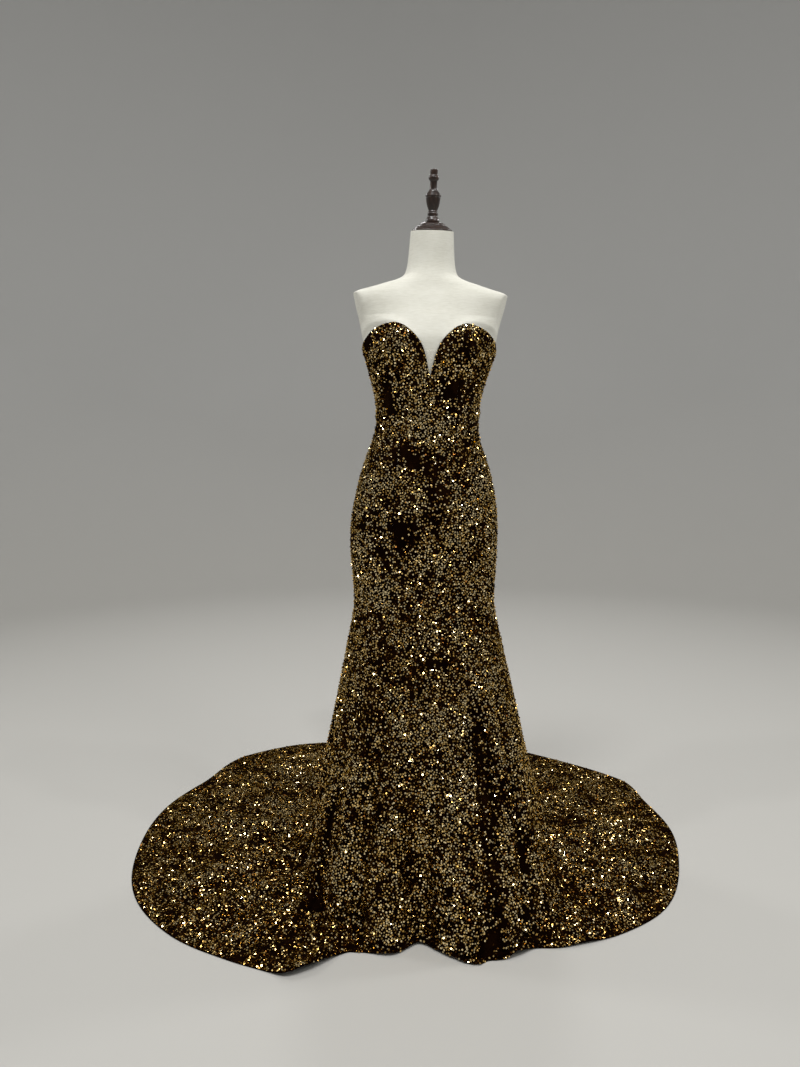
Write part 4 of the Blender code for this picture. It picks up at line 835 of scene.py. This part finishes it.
def make_sequins(name, outside, bearings, runs, materials, random):
    """The sequins of a panel's outside, each a flat spangle with a lean and a size of its own, in one of the
    golds' tones, which carry painted light and shade.
    """
    rim = len(EDGE_OFFSETS) - 2
    flat, bearings, runs = (grid[rim:-rim, rim:-rim] for grid in (outside, bearings, runs))
    bearings, runs = bearings[:-1, :-1].ravel(), runs[:-1, :-1].ravel()
    corners = flat[:-1, :-1], flat[1:, :-1], flat[1:, 1:], flat[:-1, 1:]
    a, b, c, d = (corner.reshape(-1, 3) for corner in corners)
    normals = np.cross(c - a, d - b)
    areas = np.linalg.norm(normals, axis=1) / 2
    count = int(areas.sum() / SEQUIN_SPACING**2 * SEQUIN_TRIES)
    steps = np.cumsum(areas) / areas.sum()
    quads = np.minimum(np.searchsorted(steps, random.random(count)), len(areas) - 1)
    u, v = random.random((2, count, 1))
    corner_shares = (1 - u) * (1 - v), u * (1 - v), u * v, (1 - u) * v
    places = sum(share * corner[quads] for share, corner in zip(corner_shares, (a, b, c, d)))
    kept = spaced(places, SEQUIN_SPACING * (1 + random.uniform(-SPACING_SPREAD, SPACING_SPREAD, count)))
    places, bearings, runs = places[kept], bearings[quads[kept]], runs[quads[kept]]
    # Painted light: lit spots, and the fold ridges below, keep more sequins and get lighter golds.
    uneven, lit = pile_noise(places), spots(LIT_SPOTS, places, bearings)
    relief = fold_height(bearings, runs) * (runs > 1)
    # Painted highlight along the fold ridges.
    lit = lit + RIDGE_LIGHT * np.clip(relief / RIDGE_HEIGHT, 0, 1)
    # Painted shade: fold valleys and shaded spots lose sequins, so the near-black velvet shows there.
    valley = VALLEY_SHADE * np.clip(-relief / VALLEY_DEPTH, 0, 1)
    lost = np.maximum(valley, spots(SHADED_SPOTS, places, bearings)) * (1 + UNEVEN_SPOTS * uneven)
    # Painted shade of the train on the floor: its patches hide more sequins, and its golds are darker.
    train = ease(*TRAIN_RUNS, runs)
    patches = (PATCH_LOSS + TRAIN_SHADE_LOSS * train) * np.maximum(uneven, 0)
    lost = lost + patches * (1 - OPEN_PATCHES * lit)
    shown = random.random(len(kept)) > lost
    places, facing, uneven, lit = places[shown], unit(normals[quads[kept[shown]]]), uneven[shown], lit[shown]
    # Golds darker in random patches and in the train's painted shade, lighter under painted light.
    dark = PATCH_TONE * uneven - lit + TRAIN_SHADE * train[shown]

    count = len(places)
    lean = np.abs(random.normal(0, math.radians(LEAN_SPREAD_DEG), count))
    lean = np.minimum(lean, math.radians(MOST_LEAN_DEG))
    radius = SEQUIN_RADIUS * (1 + random.uniform(-SEQUIN_SPREAD, SEQUIN_SPREAD, count))
    side = unit(np.cross(facing, unit(random.normal(0, 1, (count, 3)))))
    other = np.cross(facing, side)
    tipped = side * np.cos(lean)[:, None] + facing * np.sin(lean)[:, None]
    sunk = BURIED * random.random(count)
    middle = places + facing * (SEQUIN_LIFT + (1 - sunk) * radius * np.sin(lean))[:, None]
    turns = 2 * math.pi * np.arange(SEQUIN_SIDES) / SEQUIN_SIDES
    edge = tipped[:, None] * np.cos(turns)[None, :, None] + other[:, None] * np.sin(turns)[None, :, None]
    points = middle[:, None] + edge * radius[:, None, None]
    numbers = np.arange(count * SEQUIN_SIDES).reshape(count, SEQUIN_SIDES)
    # Each sequin's gold: a random tone, moved by the painted light and shade above.
    shares = np.cumsum([share for *_, share in SEQUIN_TONES])
    tone = np.clip(random.random(count) + dark, 0.0, DARKEST)
    face_materials = np.searchsorted(shares / shares[-1], tone)
    piece = add_piece(name + "_sequins", points.reshape(-1, 3), [numbers], materials, False, None, face_materials)
    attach(piece, "root")
    return piece


def make_gown(velvet, golds):
    random = np.random.default_rng(SEQUIN_SEED)
    for row in PANELS:
        panel, outside, bearings, runs = make_panel(row, velvet)
        sequins = make_sequins(row[0], outside, bearings, runs, golds, random)


def soft_least(value, most):
    """The value, turned smoothly under its limit."""
    return most - ARM_PLATE_ROUND * np.logaddexp(0, (most - value) / ARM_PLATE_ROUND)


def neck_bent(points):
    """The neck's bend forward to its cap."""
    slope = math.tan(math.radians(NECK_TILT_DEG)) * ease(NECK_BASE, NECK_TOP, points[..., 2])
    out = points.copy()
    out[..., 1] -= slope * (points[..., 2] - NECK_BASE) / 2
    out[..., 2] += slope * points[..., 1]
    return out


def arm_plate_reach(ahead, height):
    """The flat side where an arm would start, turned forward."""
    reach = ARM_PLATE_REACH - ARM_PLATE_SLOPE * np.maximum(ARM_PLATE_TOP - height, 0.0)
    return reach + ARM_PLATE_TURN * ease(ARM_PLATE_LOW, ARM_PLATE_FULL, height) * np.minimum(ahead, 0.0)


def side_fill(across, height, share):
    """How far the chest's straight sides stand out of the cloth's own ring, above the neckline."""
    straight = SIDE_HALF + SIDE_SLOPE * (height - SIDE_FROM)
    return np.maximum(straight - HALF_WIDTH(height), 0.0) * ease(0.0, SIDE_EASE, share) * across**2


def chest_ring(bearings, top, share):
    """A ring of the bare chest, from the neckline at share 0 to the chest's top at 1, where the cups end."""
    turn, height = np.radians(bearings), top + (CHEST_TOP - top) * share
    across, ahead = np.sin(turn), -np.cos(turn)
    half_width, front, back = HALF_WIDTH(height), FRONT_DEPTH(height), BACK_DEPTH(height)
    depth = np.where(ahead < 0, front, back)
    slid = np.arctan2(across / half_width, -ahead / depth)
    slid = slid + (turn - slid) * share
    cups = body_radius(bearings, height) - ring_radius(bearings, half_width, front, back)
    out = cups * (1 - share**2) - FORM_GAP
    x = half_width * np.sin(slid) + across * (out + side_fill(across, height, share))
    return np.stack([x, ahead * out - depth * np.cos(slid), height], axis=-1)


def form_rows():
    """The dress form's rings of points, from the bottom up."""
    bearings = -180 + 360 * np.arange(FORM_COLUMNS) / FORM_COLUMNS
    turn, top = np.radians(bearings), NECK_HEIGHT(np.abs(bearings))
    across, ahead = np.sin(turn), -np.cos(turn)
    rows = []
    for corner in np.radians(np.linspace(0, 90, FORM_ROUND_ROWS)):
        height = np.full(len(turn), FORM_BOTTOM + BOTTOM_ROUND * (1 - math.cos(corner)))
        radius = body_radius(bearings, height) - FORM_GAP - BOTTOM_ROUND * (1 - math.sin(corner))
        rows.append(at_bearing(bearings, radius, height))
    low = FORM_BOTTOM + BOTTOM_ROUND
    for share in np.linspace(0, 1, FORM_LOW_ROWS)[1:]:
        height = low + (top - low) * share
        radius = body_radius(bearings, height) - FORM_GAP
        rows.append(at_bearing(bearings, radius, height))
    covered = len(rows)
    for share in np.linspace(0, 1, FORM_CHEST_ROWS + 1)[1:]:
        rows.append(chest_ring(bearings, top, share))
    fill = float(side_fill(1.0, CHEST_TOP, 1.0))
    half, front, back = (float(ring(CHEST_TOP)) - FORM_GAP for ring in (HALF_WIDTH, FRONT_DEPTH, BACK_DEPTH))
    chest = (CHEST_TOP, half + fill, front, back)
    steps = np.arange(len(SHOULDERS) + 1)
    level, half, front, back = (Curve(steps, column) for column in columns((chest, *SHOULDERS)))
    for step in np.linspace(0, len(SHOULDERS), FORM_TOP_ROWS + 1)[1:]:
        y = np.where(ahead < 0, front(step), back(step)) * ahead
        x = across * (half(step) - fill * (1 - across**2) * max(1 - step, 0.0))
        rows.append(np.stack([x, y, np.full(len(turn), float(level(step)))], axis=-1))
    for row in rows[covered:]:
        reach = arm_plate_reach(row[:, 1], row[:, 2])
        row[:, 0] = np.sign(row[:, 0]) * soft_least(np.abs(row[:, 0]), reach)
    return bearings, np.stack([leaned(neck_bent(row)) for row in rows])


def make_form(linen):
    bearings, rows = form_rows()
    count = len(bearings)
    upright = np.concatenate([[0], np.cumsum(np.linalg.norm(np.diff(rows, axis=0), axis=-1).mean(axis=1))])
    closed = np.concatenate([rows, rows[:, :1]], axis=1)
    numbers = np.arange(len(rows) * (count + 1)).reshape(len(rows), count + 1)
    u = np.append(np.radians(bearings), math.pi) * MEAN_RADIUS
    uv = np.stack(np.broadcast_arrays(u[None, :], upright[:, None]), axis=-1).reshape(-1, 2)
    faces = [grid_quads(numbers)[:, ::-1], numbers[-1:, :-1], numbers[:1, :-1][:, ::-1]]
    piece = add_piece("dress_form", closed.reshape(-1, 3), faces, [linen], True, uv)
    mended(piece, sharp_deg=50)
    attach(piece, "root")
    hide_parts("torso")


def rings_round(heights, radii, sides):
    """Rings of points round the Z axis, each ending where it starts, and their numbers in a grid."""
    turns = 2 * math.pi * np.arange(sides + 1) / sides
    x, y = radii[:, None] * np.cos(turns), radii[:, None] * np.sin(turns)
    rings = np.stack(np.broadcast_arrays(x, y, heights[:, None]), axis=-1)
    return rings.reshape(-1, 3), np.arange(x.size).reshape(x.shape)


def turned(name, node, outline, sides, finish, place):
    """A smooth turned piece through (height, radius) pairs, closed at both ends, in place of its node."""
    points, numbers = rings_round(*np.array(outline).T, sides)
    points = points @ np.array(place.to_3x3()).T + np.array(place.translation)
    faces = [grid_quads(numbers)[:, ::-1], numbers[-1:, :-1], numbers[:1, :-1][:, ::-1]]
    piece = add_piece(name, points, faces, [finish])
    mended(piece, sharp_deg=32)
    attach(piece, "root")
    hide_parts(node)


def outline_through(knots, steps):
    """A turned outline: a smooth line through its (height, radius) knots."""
    heights = np.linspace(knots[0][0], knots[-1][0], steps)
    return list(zip(heights, Curve(*columns(knots))(heights)))


def make_finial(wood):
    middle = leaned(neck_bent(np.array([[0.0, 0.0, NECK_TOP]])))[0]
    place = Matrix.Translation(Vector(middle)) @ Matrix.Rotation(math.radians(LEAN_DEG), 4, "Y")
    place = place @ Matrix.Rotation(math.radians(NECK_TILT_DEG), 4, "X")
    outline = outline_through(FINIAL_KNOTS, FINIAL_RINGS)
    turned("neck_cap_turned", "neck_cap", CAP_OUTLINE, CAP_SIDES, wood, place)
    turned("finial_turned", "finial", outline, FINIAL_SIDES, wood, place)


def sewn_in(name, node, bearings_at, levels, layers_out, finish):
    """A thin closed piece behind the cloth, through rows of bearings at each height."""
    across = np.array([bearings_at(level) for level in levels])
    height = np.broadcast_to(np.array(levels)[:, None], across.shape)
    radius = body_radius(across, height)
    layers = [leaned(at_bearing(across, radius + out, height)) for out in layers_out]
    count, rows, wide = across.size, *across.shape
    numbers = np.arange(count).reshape(rows, wide)
    faces = [grid_quads(numbers), grid_quads(numbers + count)[:, ::-1]]
    for edge in (numbers[0], numbers[-1][::-1], numbers[::-1, 0], numbers[:, -1]):
        faces.append(np.stack([edge[:-1], edge[1:], edge[1:] + count, edge[:-1] + count], -1))
    uv = np.tile(np.stack([np.radians(across) * SEWN_RADIUS, height], -1).reshape(-1, 2), (2, 1))
    piece = add_piece(name, np.concatenate(layers).reshape(-1, 3), faces, [finish], True, uv)
    mended(piece, sharp_deg=60, weld=False)
    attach(piece, "root")
    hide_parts(node)
    return piece


def make_net(net):
    lowest = NECKLINE[0][1] - NET_DEPTH
    across = Curve(*columns(tuple((height, deg) for deg, height in NECKLINE[:5])))

    def bearings_at(height):
        half = float(across(height)) + math.degrees(NET_TURNING / body_radius(0.0, height))
        return np.linspace(-half, half, NET_COLUMNS)

    levels = np.linspace(NET_TOP, lowest, NET_ROWS)
    piece = sewn_in("plunge_net_sheer", "plunge_net", bearings_at, levels, NET_FACES, net)


def run_of(bearing, height):
    """The run of the fitted cloth at a height."""
    top = NECK_HEIGHT(np.abs(turned_between(bearing, 0.0)))
    return (top - height) / (top - FLARE_HEIGHT)


def make_zip(tape, gilt):
    top = NECKLINE[-1][1] - 2 * SEAM_GAP
    half = math.degrees(ZIP_HALF_WIDTH / BACK_DEPTH(top))
    levels = np.linspace(top, ZIP_BOTTOM, TAPE_ROWS)
    spread = np.linspace(ZIP_BEARING - half, ZIP_BEARING + half, TAPE_COLUMNS)
    piece = sewn_in("back_zip_tape", "back_zip", lambda height: spread, levels, TAPE_FACES, tape)

    block = np.array(np.meshgrid(*TOOTH_BOX, indexing="ij")).reshape(3, -1).T
    points, faces = [], []
    for i, height in enumerate(np.arange(top - TEETH_DROP, ZIP_BOTTOM + TEETH_RISE, -TOOTH_PITCH)):
        run = run_of(ZIP_BEARING, height)
        middle, out = (cloth(ZIP_BEARING, run, reach) for reach in (TOOTH_MIDDLE, TOOTH_OUT))
        facing = unit(out - middle)
        side = np.array([1.0 if i % 2 else -1.0, 0.0, 0.0])
        side = unit(side - facing * (side @ facing))
        along = np.cross(facing, side)
        points.append(middle + block[:, :1] * side + block[:, 1:2] * along + block[:, 2:] * facing)
        faces.append(len(block) * i + np.array(TOOTH_FACES))
    teeth = add_piece("back_zip_teeth", np.concatenate(points), faces, [gilt], False)
    mended(teeth, weld=False)
    bevelled(teeth, *TOOTH_BEVEL)
    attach(teeth, "root")

    for node, body in (("zip_slider", "root"), ("zip_pull", "pull_tab")):
        piece = bpy.data.objects.new(node + "_gilt", bpy.data.objects[node].data.copy())
        bpy.context.scene.collection.objects.link(piece)
        piece.data.materials.clear()
        piece.data.materials.append(gilt)
        welded = bmesh.new()
        welded.from_mesh(piece.data)
        bmesh.ops.remove_doubles(welded, verts=welded.verts, dist=WELD)
        bmesh.ops.dissolve_limit(welded, angle_limit=math.radians(1), verts=welded.verts, edges=welded.edges)
        welded.to_mesh(piece.data)
        welded.free()
        bevelled(piece, *GILT_BEVEL)
        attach(piece, body)
        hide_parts(node)


def dress_stand(steel):
    for name in ("stand_foot", "pole_socket", "pole", "pole_flange"):
        for holder in bpy.data.objects[name].material_slots:
            holder.material = steel


def area_light(name, place, target, size, power):
    lamp = bpy.data.lights.new(name, "AREA")
    lamp.shape, lamp.size, lamp.energy = "DISK", size, power
    made = bpy.data.objects.new(name, lamp)
    made.location = place
    made.rotation_euler = (Vector(target) - Vector(place)).to_track_quat("-Z", "Y").to_euler()
    bpy.context.scene.collection.objects.link(made)


def make_studio():
    """A plain pale floor that sweeps up into a plain wall all round, and soft lamps."""
    outline = [(radius, 0.0) for radius in (*FLOOR_RINGS, STUDIO_RADIUS - STUDIO_COVE)]
    for turn in np.radians(np.linspace(0, 90, COVE_ROWS)[1:]):
        reach = STUDIO_RADIUS - STUDIO_COVE + STUDIO_COVE * math.sin(turn)
        outline.append((reach, STUDIO_COVE * (1 - math.cos(turn))))
    outline.append((STUDIO_RADIUS, STUDIO_HEIGHT))
    radii, heights = np.array(outline).T
    points, numbers = rings_round(heights - FLOOR_DROP, radii, STUDIO_SIDES)
    paint = new_material("studio_grey", (0.5, 0.5, 0.48), 0.7)
    height = add_node(paint, "ShaderNodeSeparateXYZ", {"Vector": place_of(paint)}).outputs["Z"]
    shade = range_of(paint, height, 0.0, STUDIO_COVE, 0.0, 1.0)
    coloured(paint, shade, ((0.0, FLOOR_COLOUR), (1.0, WALL_COLOUR)))
    sweep = add_piece("studio_sweep", points, [grid_quads(numbers)[:, ::-1]], [paint])

    bpy.context.scene.view_settings.view_transform = "Standard"
    world = bpy.data.worlds.new("studio_air")
    world.use_nodes = True
    air = world.node_tree.nodes["Background"].inputs
    air["Color"].default_value, air["Strength"].default_value = WORLD_COLOUR, WORLD_STRENGTH
    bpy.context.scene.world = world
    for row in LAMPS:
        area_light(*row)


def make_camera():
    lens = bpy.data.cameras.new("camera")
    lens.sensor_width, lens.lens = FILM, CAMERA_FOCAL * FILM / PICTURE_HEIGHT
    lens.clip_start, lens.clip_end = CAMERA_CLIP
    made = bpy.data.objects.new("camera", lens)
    pitch, roll = math.radians(CAMERA_PITCH_DEG), math.radians(CAMERA_ROLL_DEG)
    ahead = Vector((0, math.cos(pitch), -math.sin(pitch)))
    down = Vector((0, -math.sin(pitch), -math.cos(pitch)))
    right = Vector((math.cos(roll), 0, 0)) + down * math.sin(roll)
    up = right.cross(ahead)
    turn = Matrix((right, up, -ahead)).transposed()
    made.matrix_world = Matrix.Translation(CAMERA_PLACE) @ turn.to_4x4()
    bpy.context.scene.collection.objects.link(made)
    bpy.context.scene.camera = made


def main():
    make_camera()
    make_gown(velvet_material(), sequin_materials())
    make_net(net_material())
    make_zip(tape_material(), gilt_material())
    make_form(linen_material())
    make_finial(wood_material())
    dress_stand(steel_material())
    make_studio()


main()
